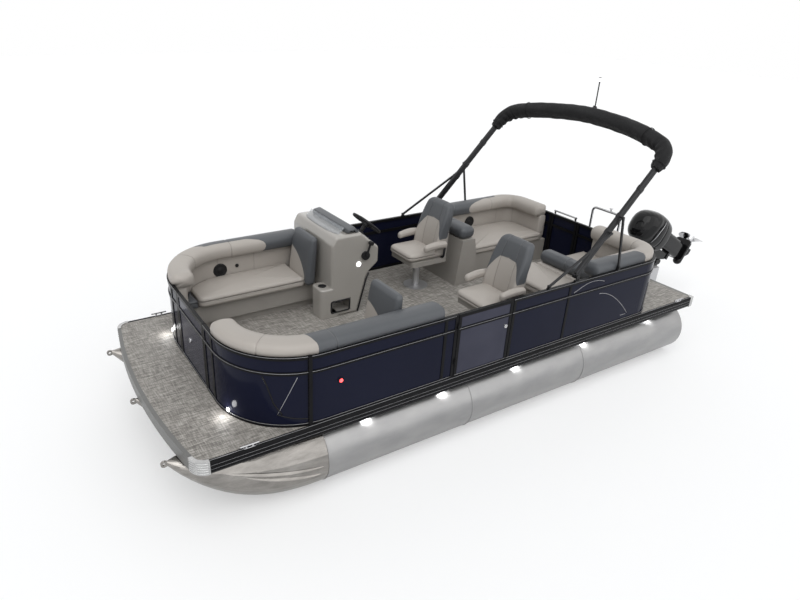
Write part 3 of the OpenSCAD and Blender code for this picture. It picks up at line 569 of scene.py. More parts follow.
def tube_between(points, radius, sides, closed=False):
    """A round bar along points"""
    points = [Vector(p) for p in points]
    count = len(points)
    rings = []
    normal = None
    for i, p in enumerate(points):
        before = points[(i - 1) % count] if (closed or i) else p
        after = points[(i + 1) % count] if (closed or i < count - 1) else p
        ahead = (after - before).normalized()
        if normal is None:
            normal = ahead.orthogonal().normalized()
        normal = (normal - ahead * normal.dot(ahead)).normalized()
        side = ahead.cross(normal)
        for j in range(sides):
            a = 2 * math.pi * j / sides
            rings.append(p + normal * (radius * math.cos(a)) + side * (radius * math.sin(a)))
    faces = grid_faces(count, sides, closed, True)
    if not closed:
        faces.append(list(range(sides)))
        faces.append([count * sides - 1 - j for j in range(sides)])
    return rings, faces


def lathe(profile, centre, axis, sides):
    """A turned shape: profile is (radius, distance along axis)"""
    axis = Vector(axis).normalized()
    u = axis.orthogonal().normalized()
    v = axis.cross(u)
    centre = Vector(centre)
    points = []
    for radius, along in profile:
        for j in range(sides):
            a = 2 * math.pi * j / sides
            points.append(centre + axis * along + (u * math.cos(a) + v * math.sin(a)) * radius)
    faces = grid_faces(len(profile), sides, False, True)
    faces.append([sides - 1 - j for j in range(sides)])
    faces.append([(len(profile) - 1) * sides + j for j in range(sides)])
    return points, faces


def arc_points(centre, radius, start, end, count):
    """Points on an arc in the plan, with angles in degrees"""
    angles = np.radians(np.linspace(start, end, count))
    return [(centre[0] + radius * math.cos(a), centre[1] + radius * math.sin(a)) for a in angles]


def fence_line(offset, bow_y=None, side_x=None, stern_y=None):
    """The fence's plan line on the port half, offset outwards, from the bow round to the stern"""
    step = 0.03
    bow_c = (FENCE_X1 - BOW_R, FENCE_Y - BOW_R)
    stern_c = (FENCE_X0 + STERN_R, FENCE_Y - STERN_R)
    line = []
    if bow_y is not None:
        line += [(FENCE_X1 + offset, y) for y in np.arange(bow_y, bow_c[1], step)]
        line += arc_points(bow_c, BOW_R + offset, 0, 90, 40)
    start = bow_c[0] if bow_y is not None else side_x[0]
    end = side_x[1] if side_x else stern_c[0]
    count = max(2, int(abs(start - end) / step))
    line += [(x, FENCE_Y + offset) for x in np.linspace(start, end, count)[1 if line else 0:]]
    if stern_y is not None:
        line += arc_points(stern_c, STERN_R + offset, 90, 180, 26)[1:]
        line += [(FENCE_X0 - offset, y) for y in np.arange(stern_c[1] - step, stern_y, -step)]
    return line


# ------------------------------------------------------------------ soft goods

def axis_lines(half, radius, inner, extra=()):
    """Grid positions along one side of a pad: close together round its edge and at its seams"""
    turn = np.radians([0, 9, 18, 27, 36, 45])
    edge = (half - radius) + radius * np.tan(turn)
    core = list(np.linspace(-(half - radius), half - radius, inner))
    lines = list(-edge[1:]) + core + list(edge[1:])
    beside = (-0.012, -0.006, -0.002, 0.002, 0.006, 0.012)
    for at_seam in extra:
        lines += [at_seam + d for d in beside if abs(at_seam + d) < half - radius]
    return sorted(set(round(float(v), 5) for v in lines))


def pad_shape(size, radius, crown=(0, 0, 0), seams=(), inner=16, pull=0.0):
    """A soft box about its own centre. crown swells each pair of faces; seams are (axis, at) lines
    sewn across it. Gives points, faces and each point's distance to the nearest seam."""
    half = [s / 2 for s in size]
    lines = [axis_lines(half[i], radius, max(3, int(inner * size[i] / max(size))),
                        [at for axis, at in seams if axis == i]) for i in range(3)]
    index, points, faces = {}, [], []

    def number(p):
        key = tuple(round(v, 5) for v in p)
        if key not in index:
            index[key] = len(points)
            points.append(p)
        return index[key]

    for axis in range(3):
        a, b = (axis + 1) % 3, (axis + 2) % 3
        for side in (-1, 1):
            for i in range(len(lines[a]) - 1):
                for j in range(len(lines[b]) - 1):
                    corners = []
                    for da, db in ((0, 0), (1, 0), (1, 1), (0, 1)):
                        p = [0.0, 0.0, 0.0]
                        p[axis] = side * half[axis]
                        p[a] = lines[a][i + da]
                        p[b] = lines[b][j + db]
                        corners.append(number(tuple(p)))
                    faces.append(corners if side > 0 else corners[::-1])
    raw = np.array(points)
    core = np.clip(raw, [-(h - radius) for h in half], [h - radius for h in half])
    away = raw - core
    length = np.linalg.norm(away, axis=1, keepdims=True)
    shaped = core + away / np.maximum(length, 1e-9) * radius
    scaled = raw / np.array(half)
    for axis in range(3):
        a, b = (axis + 1) % 3, (axis + 2) % 3
        swell = crown[axis] * (1 - scaled[:, a] ** 2) * (1 - scaled[:, b] ** 2)
        shaped[:, axis] += swell * np.sign(raw[:, axis]) * (np.abs(scaled[:, axis]) > 0.999)
        if pull and axis < 2:
            shaped[:, axis] *= 1 - pull * (1 - np.abs(scaled[:, a]) ** 2)
    seam = np.full(len(points), 1.0)
    for axis, at in seams:
        seam = np.minimum(seam, np.abs(raw[:, axis] - at))
    normal = away / np.maximum(length, 1e-9)
    depth = finish().seam_depth * np.exp(-(seam / 0.0055) ** 2)
    return shaped - normal * depth[:, None], faces, seam


def soft_piece(name, shape, place, body, slot, tone=-1.0, seam=None, warp=None):
    """A padded piece: shape is a pad_shape about its own centre, bent by warp and set down at place"""
    points, faces, sewn = shape
    if seam is not None:
        sewn = np.minimum(sewn, seam)
    local = np.array(points)
    tones = tone(local) if callable(tone) else np.full(len(local), float(tone))
    if warp is not None:
        local = warp(local)
    piece = add_mesh(name, local + np.array(place), faces, body, slot,
                     attributes={"tone": tones, "seam": sewn})
    return piece


def sweep_pad(name, line, section, body, slot, side=1, tone=-1.0, seams=(), ends=(0.05, 0.05),
              heights=()):
    """A padded roll along a plan line. section is a closed list of (out, height); seams are distances
    along the line where it is sewn across; heights are those of seams along it; ends are the lengths
    over which it rounds off."""
    line = [Vector((x, y)) for x, y in line]
    along = [0.0]
    for i in range(1, len(line)):
        along.append(along[-1] + (line[i] - line[i - 1]).length)
    total = along[-1]
    stops = set(np.linspace(0, total, max(8, int(total / 0.035))).round(5))
    for at_seam in seams:
        stops |= {round(at_seam + d, 5) for d in (-0.014, -0.007, -0.003, 0.003, 0.007, 0.014)}
    for k in range(9):
        stops.add(round(ends[0] * (1 - math.cos(math.pi / 2 * k / 8)), 5))
        stops.add(round(total - ends[1] * (1 - math.cos(math.pi / 2 * k / 8)), 5))
    stops = sorted(s for s in stops if 0 <= s <= total)
    section = np.array(section)
    middle = section.mean(axis=0)
    points, sewn, tones = [], [], []
    for s in stops:
        i = min(len(line) - 2, max(0, int(np.searchsorted(along, s)) - 1))
        f = (s - along[i]) / max(1e-9, along[i + 1] - along[i])
        p = line[i].lerp(line[i + 1], f)
        ahead = line[min(i + 2, len(line) - 1)] - line[max(i - 1, 0)]
        out = Vector((ahead.y, -ahead.x)).normalized()
        if out.dot(Vector((p.x - 3.3, p.y * 1.6))) < 0:
            out = -out
        scale = 1.0
        if s < ends[0]:
            scale = math.sqrt(max(0.0, 1 - (1 - s / ends[0]) ** 2))
        if total - s < ends[1]:
            scale = min(scale, math.sqrt(max(0.0, 1 - (1 - (total - s) / ends[1]) ** 2)))
        scale = max(scale, 0.03)
        near = min([abs(s - q) for q in seams] or [1.0])
        dip = 1 - 0.045 * math.exp(-(near / 0.008) ** 2)
        for u, z in section:
            du = (u - middle[0]) * scale * dip
            dz = (z - middle[1]) * scale * dip
            points.append((p.x + out.x * (middle[0] + du), (p.y + out.y * (middle[0] + du)) * side,
                           middle[1] + dz))
            edge = min([abs(z - h) for h in heights] or [1.0])
            sewn.append(min(near, edge))
            tones.append(tone(p.x, p.y, u, z) if callable(tone) else tone)
    count = len(section)
    faces = grid_faces(len(stops), count, False, True)
    faces.append(list(range(count)))
    faces.append([len(stops) * count - 1 - j for j in range(count)])
    piece = add_mesh(name, points, faces, body, slot, attributes={"tone": tones, "seam": sewn})
    return piece


def round_section(u0, u1, z0, z1, radius, bulge):
    """A closed section with round corners and slightly swollen sides"""
    corner_steps, side_steps = 6, 4
    radius = min(radius, (u1 - u0) / 2 - 1e-4, (z1 - z0) / 2 - 1e-4)
    corners = [((u1 - radius, z0 + radius), -90), ((u1 - radius, z1 - radius), 0),
               ((u0 + radius, z1 - radius), 90), ((u0 + radius, z0 + radius), 180)]
    loop = []
    for (cu, cz), start in corners:
        for k in range(corner_steps + 1):
            a = math.radians(start + 90 * k / corner_steps)
            loop.append((cu + radius * math.cos(a), cz + radius * math.sin(a)))
    full = []
    for i, p in enumerate(loop):
        q = loop[(i + 1) % len(loop)]
        full.append(p)
        gap = math.hypot(q[0] - p[0], q[1] - p[1])
        if gap > radius * 0.6:
            steps = max(side_steps, int(gap / 0.03))
            for k in range(1, steps):
                t = k / steps
                full.append((p[0] + (q[0] - p[0]) * t, p[1] + (q[1] - p[1]) * t))
    cu, cz = (u0 + u1) / 2, (z0 + z1) / 2
    swollen = []
    for u, z in full:
        a, b = (u - cu) / ((u1 - u0) / 2), (z - cz) / ((z1 - z0) / 2)
        swollen.append((u + bulge * a * (1 - b * b), z + bulge * b * (1 - a * a)))
    return swollen


# ------------------------------------------------------------------ shapes drawn as outlines

def fillet(corners, radii, steps=6):
    """A closed outline with each corner rounded to its radius"""
    count = len(corners)
    outline = []
    for i, here in enumerate(corners):
        p, q, r = Vector(corners[i - 1]), Vector(here), Vector(corners[(i + 1) % count])
        radius = radii[i] if isinstance(radii, (list, tuple)) else radii
        a, b = (p - q).normalized(), (r - q).normalized()
        half = math.acos(max(-1, min(1, a.dot(b)))) / 2
        if radius < 1e-5 or half > 1.55:
            outline.append(tuple(q))
            continue
        reach = min(radius / math.tan(half), (p - q).length * 0.49, (r - q).length * 0.49)
        start, end = q + a * reach, q + b * reach
        for k in range(steps + 1):
            t = k / steps
            outline.append(tuple(start * (1 - t) ** 2 + q * (2 * t * (1 - t)) + end * t ** 2))
    return outline


def even_outline(outline, step):
    """The same closed outline with its long stretches divided"""
    made = []
    for i, p in enumerate(outline):
        p, q = Vector(p), Vector(outline[(i + 1) % len(outline)])
        pieces = max(1, math.ceil((q - p).length / step))
        for k in range(pieces):
            made.append(tuple(p.lerp(q, k / pieces)))
    return made


def rim_shape(outline, low, high, radius, crown=0.0, seams=(), pull=0.0, low_radius=None):
    """An outline raised from low to high with rolled edges and a crowned top. Gives points as
    (a, b, height), faces and each point's distance to the nearest seam, which are heights."""
    loop = np.array(outline)
    area = sum(loop[i - 1][0] * loop[i][1] - loop[i][0] * loop[i - 1][1] for i in range(len(loop)))
    if area < 0:
        loop = loop[::-1]
    ahead = np.roll(loop, -1, axis=0) - np.roll(loop, 1, axis=0)
    inward = np.stack([-ahead[:, 1], ahead[:, 0]], axis=1)
    inward /= np.maximum(np.linalg.norm(inward, axis=1, keepdims=True), 1e-9)
    middle = loop.mean(axis=0)
    foot = radius if low_radius is None else low_radius
    turn = np.radians(np.linspace(0, 90, 7))
    levels = [(foot * (1 - math.sin(a)), low + foot * (1 - math.cos(a))) for a in turn]
    side = np.linspace(low + foot, high - radius, 5)[1:-1]
    heights = sorted(set(list(side) + [h + d for h in seams for d in (-0.007, -0.003, 0.0, 0.003, 0.007)]))
    heights = [h for h in heights if low + foot < h < high - radius]
    reach = max(1e-6, (high - low) / 2)
    levels += [(pull * (1 - ((h - (low + high) / 2) / reach) ** 2), h) for h in heights]
    levels += [(radius * (1 - math.cos(a)), high - radius * (1 - math.sin(a))) for a in turn]
    points, sewn, rings = [], [], 0
    for inset, height in levels:
        near = min([abs(height - h) for h in seams] or [1.0])
        inset += finish().seam_depth * 0.6 * math.exp(-(near / 0.0045) ** 2)
        for p, n in zip(loop, inward):
            points.append((*(p + n * inset), height))
            sewn.append(near)
        rings += 1
    rim = loop + inward * radius
    for share in (0.93, 0.84, 0.70, 0.54, 0.36, 0.18):
        for p in rim:
            points.append((*(middle + (p - middle) * share), high + crown * (1 - share ** 2)))
            sewn.append(1.0)
        rings += 1
    count = len(loop)
    faces = [f[::-1] for f in grid_faces(rings, count, False, True)]
    points.append((*middle, high + crown))
    points.append((*middle, low))
    sewn += [1.0, 1.0]
    top, base = (rings - 1) * count, len(points) - 1
    faces += [[top + j, top + (j + 1) % count, base - 1] for j in range(count)]
    faces += [[(j + 1) % count, j, base] for j in range(count)]
    return points, faces, sewn


def cushion(name, outline, low, high, body, slot, radius=0.035, tone=-1.0, seams=None, step=0.04):
    """A crowned cushion of that plan"""
    sewn_at = [high - radius - 0.012] if seams is None else seams
    points, faces, sewn = rim_shape(even_outline(outline, step), low, high, radius, finish().crown,
                                    sewn_at, pull=0.004)
    tones = [tone(*p) if callable(tone) else tone for p in points]
    piece = add_mesh(name, points, faces, body, slot, attributes={"tone": tones, "seam": sewn})
    return piece


def dress(node, finish_name, sharp=32):
    """Gives a part of the frame its finish and smooth shading"""
    part = frame["nodes"][node]
    for index in range(len(part.data.materials)):
        part.data.materials[index] = finish_of(finish_name)
    part.data.polygons.foreach_set("use_smooth", [True] * len(part.data.polygons))
    part.data.set_sharp_from_angle(angle=math.radians(sharp))


def disc(centre, axis, radius, depth):
    """A dished button or light"""
    edge = depth * 0.25
    return lathe([(radius * 0.97, 0), (radius, edge), (radius, depth - edge), (radius * 0.93, depth),
                  (radius * 0.86, depth * 0.75), (radius * 0.5, depth * 0.86), (0.001, depth * 0.9)],
                 centre, axis, 32)


def cut_out(shape, cutters):
    """The mesh (points, faces) with the cutters' volumes taken away"""
    scene = bpy.context.scene
    made = []
    for points, faces in [shape] + cutters:
        mesh = bpy.data.meshes.new("cutting")
        mesh.from_pydata([tuple(p) for p in points], [], [tuple(f) for f in faces])
        made.append(bpy.data.objects.new("cutting", mesh))
        scene.collection.objects.link(made[-1])
    for cutter in made[1:]:
        cut = made[0].modifiers.new("cut", "BOOLEAN")
        cut.operation = "DIFFERENCE"
        cut.solver = "EXACT"
        cut.object = cutter
    bpy.context.view_layer.update()
    result = bpy.data.meshes.new_from_object(made[0].evaluated_get(bpy.context.evaluated_depsgraph_get()))
    points = [tuple(v.co) for v in result.vertices]
    faces = [tuple(p.vertices) for p in result.polygons]
    for item in made:
        bpy.data.objects.remove(item)
    return points, faces


def block(low, high):
    """Points and faces of a plain cutting block"""
    points = [(x, y, z) for x in (low[0], high[0]) for y in (low[1], high[1]) for z in (low[2], high[2])]
    return points, [[0, 1, 3, 2], [4, 6, 7, 5], [0, 4, 5, 1], [2, 3, 7, 6], [0, 2, 6, 4], [1, 5, 7, 3]]


# ------------------------------------------------------------------ the pieces

class BOAT_OT_stage(bpy.types.Operator):
    """Pale floor, plain soft light and the camera"""
    bl_idname = "boat.stage"
    bl_label = "Stage"

    def execute(self, context):
        scene = context.scene
        scene.view_settings.view_transform = "Standard"
        half = 40.0
        points = [(3 - half, -half, 0), (3 + half, -half, 0), (3 + half, half, 0), (3 - half, half, 0)]
        mesh = bpy.data.meshes.new("floor")
        mesh.from_pydata(points, [], [(0, 1, 2, 3)])
        floor = bpy.data.objects.new("floor", mesh)
        scene.collection.objects.link(floor)
        m = Maker("floor_white")
        seen = m.node("LightPath", {}, {}, out=0)
        matt = m.node("BsdfDiffuse", {}, {"Color": (0.93, 0.93, 0.93)})
        plain = m.node("Emission", {}, {"Color": (1.0, 1.0, 1.0), "Strength": 1.0})
        lit = m.node("MixShader", {}, {0: seen * 0.34, 1: matt, 2: plain})
        m.node("OutputMaterial", {}, {0: lit})
        mesh.materials.append(m.material)
        world = bpy.data.worlds.new("studio")
        scene.world = world
        world.use_nodes = True
        m = Maker("studio_nodes")
        m.tree = world.node_tree
        m.tree.nodes.clear()
        rays = [m.node("LightPath", {}, {}, out=name)
                for name in ("Is Camera Ray", "Is Glossy Ray", "Is Transmission Ray")]
        shown = (rays[0] + rays[1] + rays[2]).clamped()
        dim = m.node("Background", {}, {"Color": (0.96, 0.98, 1.0), "Strength": 0.56})
        white = m.node("Background", {}, {"Color": (1.0, 1.0, 1.0), "Strength": 1.0})
        both = m.node("MixShader", {}, {0: shown, 1: dim, 2: white})
        m.node("OutputWorld", {}, {0: both})
        self.lamp(scene, "key", (0.40, 0.45, 1.0), 1.35, 60)
        self.lamp(scene, "fill", (-0.2, 1.0, 0.55), 0.85, 80)
        self.lamp(scene, "back", (-0.6, -0.8, 0.9), 0.30, 90)
        self.camera(scene)
        return {"FINISHED"}

    def lamp(self, scene, name, towards, power, spread):
        """A soft far lamp standing in that direction, spread over that many degrees"""
        light = bpy.data.lights.new(name, "SUN")
        light.energy = power
        light.angle = math.radians(spread)
        lamp = bpy.data.objects.new(name, light)
        lamp.rotation_euler = Vector(towards).to_track_quat("Z", "Y").to_euler()
        scene.collection.objects.link(lamp)

    def camera(self, scene):
        turn, rise, roll = (math.radians(v) for v in (57.471, 25.914, 2.005))
        back = Vector((math.cos(rise) * math.cos(turn), math.cos(rise) * math.sin(turn), math.sin(rise)))
        right = (-back).cross(Vector((0, 0, 1))).normalized()
        up = right.cross(-back)
        across = right * math.cos(roll) + up * math.sin(roll)
        upright = up * math.cos(roll) - right * math.sin(roll)
        data = bpy.data.cameras.new("view")
        data.sensor_width = 36
        data.lens = 28.364
        data.shift_x = 0.0465
        data.shift_y = -0.0011
        data.clip_end = 200
        camera = bpy.data.objects.new("view", data)
        basis = Matrix((across, upright, back)).transposed()
        camera.matrix_world = Matrix.Translation((7.231, 5.051, 4.041)) @ basis.to_4x4()
        scene.collection.objects.link(camera)
        scene.camera = camera


class BOAT_OT_hull(bpy.types.Operator):
    """Tubes, nose cones with their strakes and welds, and the lights under the deck"""
    bl_idname = "boat.hull"
    bl_label = "Hull"

    def execute(self, context):
        for node in ("port_tube", "centre_tube", "starboard_tube"):
            dress(node, "tube_aluminium")
        dress("nose_cones", "nose_aluminium", 50)
        for node in ("tube_risers", "crossbeams", "motor_pod"):
            dress(node, "frame_aluminium")
        self.welds()
        self.strakes()
        self.lights(context)
        return {"FINISHED"}

    def welds(self):
        rings = []
        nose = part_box("nose_cones")[0].x
        for y in (-TUBE_Y, 0, TUBE_Y):
            for x in (nose + 0.004, nose - 1.62, nose - 3.24):
                radius = TUBE_R + 0.001
                turn = [math.radians(a) for a in range(0, 360, 5)]
                path = [(x + 0.0012 * math.sin(a * 30), y + radius * math.cos(a),
                         TUBE_Z + radius * math.sin(a)) for a in turn]
                rings.append(tube_between(path, 0.0045, 8, closed=True))
        add_parts("tube_welds", rings, "boat", "tube_aluminium")

    def on_cone(self, x, z, side, y):
        """The cone's surface at that x and height, on one side of the tube at y"""
        nose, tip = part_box("nose_cones")[0].x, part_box("nose_cones")[1].x - 0.048
        t = (x - nose) / (tip - nose)
        low = 0.006 + (0.655 - 0.026) * t ** 2.7
        high = 0.641 + (0.675 - 0.641) * t
        half = 0.014 + (TUBE_R - 0.014) * (1 - t ** 2.2) ** 0.72
        mid, reach = (low + high) / 2, (high - low) / 2
        across = half * math.sqrt(max(0.0, 1 - ((z - mid) / reach) ** 2))
        return (x, y + side * across, z)

    def strakes(self):
        """Folded lifting strakes, two lobes on each side of each nose"""
        section = ((-0.006, 0.022), (0.7, 0.010), (1.0, 0.0), (0.7, -0.008), (-0.006, -0.018))
        made = []
        for y in (-TUBE_Y, 0, TUBE_Y):
            for side in (-1, 1):
                for lift, start, end in ((0.0, 5.17, 6.02), (-0.075, 5.20, 5.86)):
                    path = []
                    for k in range(25):
                        t = k / 24
                        x = start + (end - start) * t
                        z = 0.335 + lift + 0.19 * t ** 1.5
                        path.append(self.on_cone(x, z, side, y))
                    fold = []
                    for k, (x, py, z) in enumerate(path):
                        size = 0.021 * math.sin(math.pi * min(1, k / 24 * 0.97 + 0.03)) ** 0.6
                        out = Vector((0.1, side, -0.25)).normalized()
                        p = Vector((x, py, z))
                        for along, up in section:
                            fold.append(p + out * (size * along) + Vector((0, 0, up)) * (size / 0.021))
                    made.append((fold, grid_faces(25, 5)))
        add_parts("nose_strakes", made, "boat", "nose_aluminium")

    def lights(self, context):
        made = []
        for side in (-1, 1):
            for x in (4.65, 3.78, 2.81, 1.77, 0.62):
                place = (x, side * 1.205, DECK - 0.150)
                made.append(disc(place, (0, -side * 0.5, -1), 0.022, 0.014))
                light = bpy.data.lights.new("deck_light", "SPOT")
                light.energy = 5.0
                light.spot_size = math.radians(95)
                light.spot_blend = 0.9
                light.shadow_soft_size = 0.03
                lamp = bpy.data.objects.new("deck_light", light)
                lamp.location = (x, side * 1.215, DECK - 0.168)
                lamp.rotation_euler = Vector((0, -side * 0.55, -1)).to_track_quat("-Z", "Y").to_euler()
                context.scene.collection.objects.link(lamp)
        add_parts("underdeck_lights", made, "boat", "light_lens")


class BOAT_OT_deck(bpy.types.Operator):
    """Woven deck, rub rails with bright lines, ribbed bow trim, cast corners and cleats"""
    bl_idname = "boat.deck"
    bl_label = "Deck"

    def execute(self, context):
        dress("deck_floor", "woven_vinyl")
        dress("rub_rails", "black_rail")
        dress("deck_trim", "bow_trim", 20)
        dress("corner_castings", "cast_alloy", 20)
        dress("cleats", "stainless")
        self.rail_lines()
        self.corner_ribs()
        self.cleat_feet()
        return {"FINISHED"}

    def rail_lines(self):
        made = []
        start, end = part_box("rub_rails")[0].x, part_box("rub_rails")[1].x
        for side in (-1, 1):
            for z, y in ((DECK - 0.0755, HALF_BEAM - 0.0035), (DECK - 0.0395, HALF_BEAM - 0.0035),
                         (DECK + 0.0032, HALF_BEAM - 0.016)):
                path = [(x, side * y, z) for x in np.linspace(start + 0.002, end - 0.002, 30)]
                made.append(tube_between(path, 0.0027, 8))
        add_parts("rub_rail_lines", made, "boat", "frame_aluminium", "silver_line")

    def corner_ribs(self):
        """Raised ribs round each cast corner at the bow and each cap at the stern"""
        made = []
        radius = 0.130
        x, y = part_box("corner_castings")[1].x - radius, HALF_BEAM - radius
        for side in (-1, 1):
            for z in np.linspace(DECK - 0.103, DECK - 0.012, 5):
                turn = [math.radians(a) for a in np.linspace(12, 86, 16)]
                path = [(x + radius * math.cos(a) - 0.001, side * (y + radius * math.sin(a) - 0.001), z)
                        for a in turn]
                made.append(tube_between(path, 0.0048, 8))
                path = [(0.058, side * (HALF_BEAM - 0.001), z), (0.024, side * (HALF_BEAM - 0.001), z),
                        (0.008, side * (HALF_BEAM - 0.006), z), (0.001, side * (HALF_BEAM - 0.022), z),
                        (0.001, side * (HALF_BEAM - 0.058), z)]
                made.append(tube_between(path, 0.0045, 8))
        add_parts("corner_ribs", made, "boat", "cast_alloy")

    def cleat_feet(self):
        made = []
        for side in (-1, 1):
            for x in (0.300, 5.830):
                foot = fillet([(x - 0.05, side * FENCE_Y - 0.012), (x + 0.05, side * FENCE_Y - 0.012),
                               (x + 0.05, side * FENCE_Y + 0.012), (x - 0.05, side * FENCE_Y + 0.012)], 0.011)
                made.append(rim_shape(foot, DECK + 0.0005, DECK + 0.008, 0.003)[:2])
        add_parts("cleat_feet", made, "boat", "stainless")


class BOAT_OT_fence(bpy.types.Operator):
    """Fence rails, gloss panels, bright lines, accent sweeps and lights"""
    bl_idname = "boat.fence"
    bl_label = "Fence"

    def execute(self, context):
        for node in ("port_fence_frame", "starboard_fence_frame", "bow_gate_frame", "port_gate_frame",
                     "stern_gate_frame"):
            dress(node, "black_rail")
        for end in ("bow", "side", "quarter"):
            dress("port_" + end + "_panels", "navy_panel")
            dress("starboard_" + end + "_panels", "navy_panel")
        dress("stern_gate_panel", "navy_panel")
        for node in ("bow_gate_panel", "port_gate_panel"):
            dress(node, "gate_panel")
        self.bright_lines()
        self.gate_lines()
        self.sweeps()
        self.lights(context)
        self.stern_gate_rail()
        return {"FINISHED"}

    def line_bars(self, line, z, side):
        path = [(x, y * side, z) for x, y in line]
        return tube_between(path, FENCE_LINE_R, 8)

    def bright_lines(self):
        made = []
        bow, stern = 0.368, -0.02
        gate_aft, gate_fore = PORT_GATE_X
        # The line on the mid rail is a silver strip; the lines along the top rail and the base rail are
        # painted highlights on the black rails.
        for z in (MID_RAIL + 0.020, DECK + 0.028, FENCE_TOP - 0.006):
            fore = [p for p in fence_line(0.0005, bow_y=bow, side_x=(5.15, gate_fore)) if p[0] > gate_fore]
            aft = fence_line(0.0005, side_x=(gate_aft, FENCE_X0 + STERN_R), stern_y=stern)
            whole = fence_line(0.0005, bow_y=bow, stern_y=0.46)
            made.append(self.line_bars(fore, z, 1))
            made.append(self.line_bars(aft, z, 1))
            made.append(self.line_bars(whole, z, -1))
        add_parts("fence_lines", made, "boat", "frame_aluminium", "silver_line")

    def gate_lines(self):
        for body, across in (("bow_gate", True), ("port_gate", False)):
            made = []
            # The line on the mid rail is a silver strip; the line along the base rail is a painted highlight
            # on the black rail.
            for z in (MID_RAIL + 0.020, DECK + 0.030):
                if across:
                    path = [(FENCE_X1 + 0.0005, y, z) for y in np.linspace(-0.350, 0.350, 9)]
                else:
                    path = [(x, FENCE_Y + 0.0005, z) for x in np.linspace(3.122, 3.776, 9)]
                made.append(tube_between(path, FENCE_LINE_R, 8))
            add_parts(body + "_lines", made, body, "frame_aluminium", "silver_line")
            self.latch(body, across)

    def latch(self, body, across):
        """A small pull on the gate's face"""
        if across:
            pull = disc((FENCE_X1 - 0.006, -0.06, DECK + 0.30), (1, 0, 0), 0.024, 0.010)
        else:
            pull = disc((3.18, FENCE_Y - 0.006, DECK + 0.40), (0, 1, 0), 0.020, 0.010)
        add_mesh(body + "_latch", *pull, body, "stainless")

    def on_corner(self, degrees, z, side, out=0.0):
        """A point on the bow corner's panel, at that angle from dead ahead"""
        turn = math.radians(degrees)
        radius = BOW_R - 0.006 + out
        return (FENCE_X1 - BOW_R + radius * math.cos(turn),
                side * (FENCE_Y - BOW_R + radius * math.sin(turn)), z)

    def sweeps(self):
        """Thin accent lines on the bow corners and the quarter panels"""
        thin, dark = [], []
        for side in (-1, 1):
            rise = [self.on_corner(a, z, side) for a, z in
                    zip(np.linspace(70.5, 56.6, 18), np.linspace(1.28, 0.925, 18))]
            thin.append(tube_between(rise, 0.0032, 6))
            fall = []
            for k in range(28):
                t = k / 27
                degrees = 47 + 9.6 * t ** 0.9 + 12 * max(0, t - 0.72)
                fall.append(self.on_corner(degrees, 1.285 - 0.36 * t ** 1.15, side))
            dark.append(tube_between(fall, 0.0065, 6))
            foot = [self.on_corner(56.6 + 24 * t, 0.925 - 0.055 * math.sin(t * 1.6), side)
                    for t in np.linspace(0, 1, 12)]
            dark.append(tube_between(foot, 0.006, 6))
            quarter = [(1.84 - 0.56 * t, side * PANEL_Y, 1.245 - 0.36 * t ** 1.7)
                       for t in np.linspace(0, 1, 22)]
            thin.append(tube_between(quarter, 0.0034, 6))
            hem = [(1.30 + 0.09 * t, side * PANEL_Y, 0.878) for t in np.linspace(0, 1, 4)]
            thin.append(tube_between(hem, 0.0030, 6))
            crest = [(2.26 - 0.46 * t, side * PANEL_Y, 1.345 + 0.075 * math.sin(t * 2.6))
                     for t in np.linspace(0, 1, 20)]
            thin.append(tube_between(crest, 0.0030, 6))
        add_parts("panel_sweeps", thin, "boat", "frame_aluminium", "silver_line")
        add_parts("panel_shadow_lines", dark, "boat", "black_gloss")

    def lights(self, context):
        """Courtesy lights low on the bow corners, and the side lights' lenses"""
        made = []
        degrees = 18
        turn = math.radians(degrees)
        for side in (-1, 1):
            place = self.on_corner(degrees, DECK + 0.052, side, 0.007)
            made.append(disc(place, (math.cos(turn), side * math.sin(turn), 0), 0.018, 0.010))
            light = bpy.data.lights.new("courtesy", "POINT")
            light.energy = 0.7
            light.shadow_soft_size = 0.03
            lamp = bpy.data.objects.new("courtesy", light)
            lamp.location = (place[0] + 0.07 * math.cos(turn), place[1] + side * 0.07 * math.sin(turn),
                             place[2] + 0.01)
            context.scene.collection.objects.link(lamp)
        add_parts("courtesy_lights", made, "boat", "light_lens")
        dress("navigation_lights", "black_plastic")
        for side, name, lens in ((1, "port", "red_lens"), (-1, "starboard", "green_lens")):
            centre = (5.010, side * (FENCE_Y + 0.007), 1.166)
            dome = lathe([(0.017, 0), (0.016, 0.004), (0.011, 0.008), (0.004, 0.0095), (0.001, 0.0098)],
                         centre, (0, side, 0), 28)
            add_mesh(name + "_light", *dome, "boat", "light_lens", lens)

    def stern_gate_rail(self):
        low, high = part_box("stern_gate_frame")
        y0, y1 = low.y + 0.038, high.y - 0.038
        x = FENCE_X0 + RAIL / 2
        top = FENCE_TOP + 0.046
        path = [(x, y0, top)] + [(x, y, top) for y in np.linspace(y0 + 0.02, y1 - 0.02, 8)] + [(x, y1, top)]
        parts = [tube_between(path, 0.0112, 14)]
        for y in (y0 + 0.012, y1 - 0.012):
            parts.append(lathe([(0.017, 0), (0.017, 0.004), (0.0095, 0.010), (0.0092, 0.046)],
                               (x, y, FENCE_TOP), (0, 0, 1), 20))
        add_parts("stern_gate_rail", parts, "stern_gate", "stainless", sharp=40)


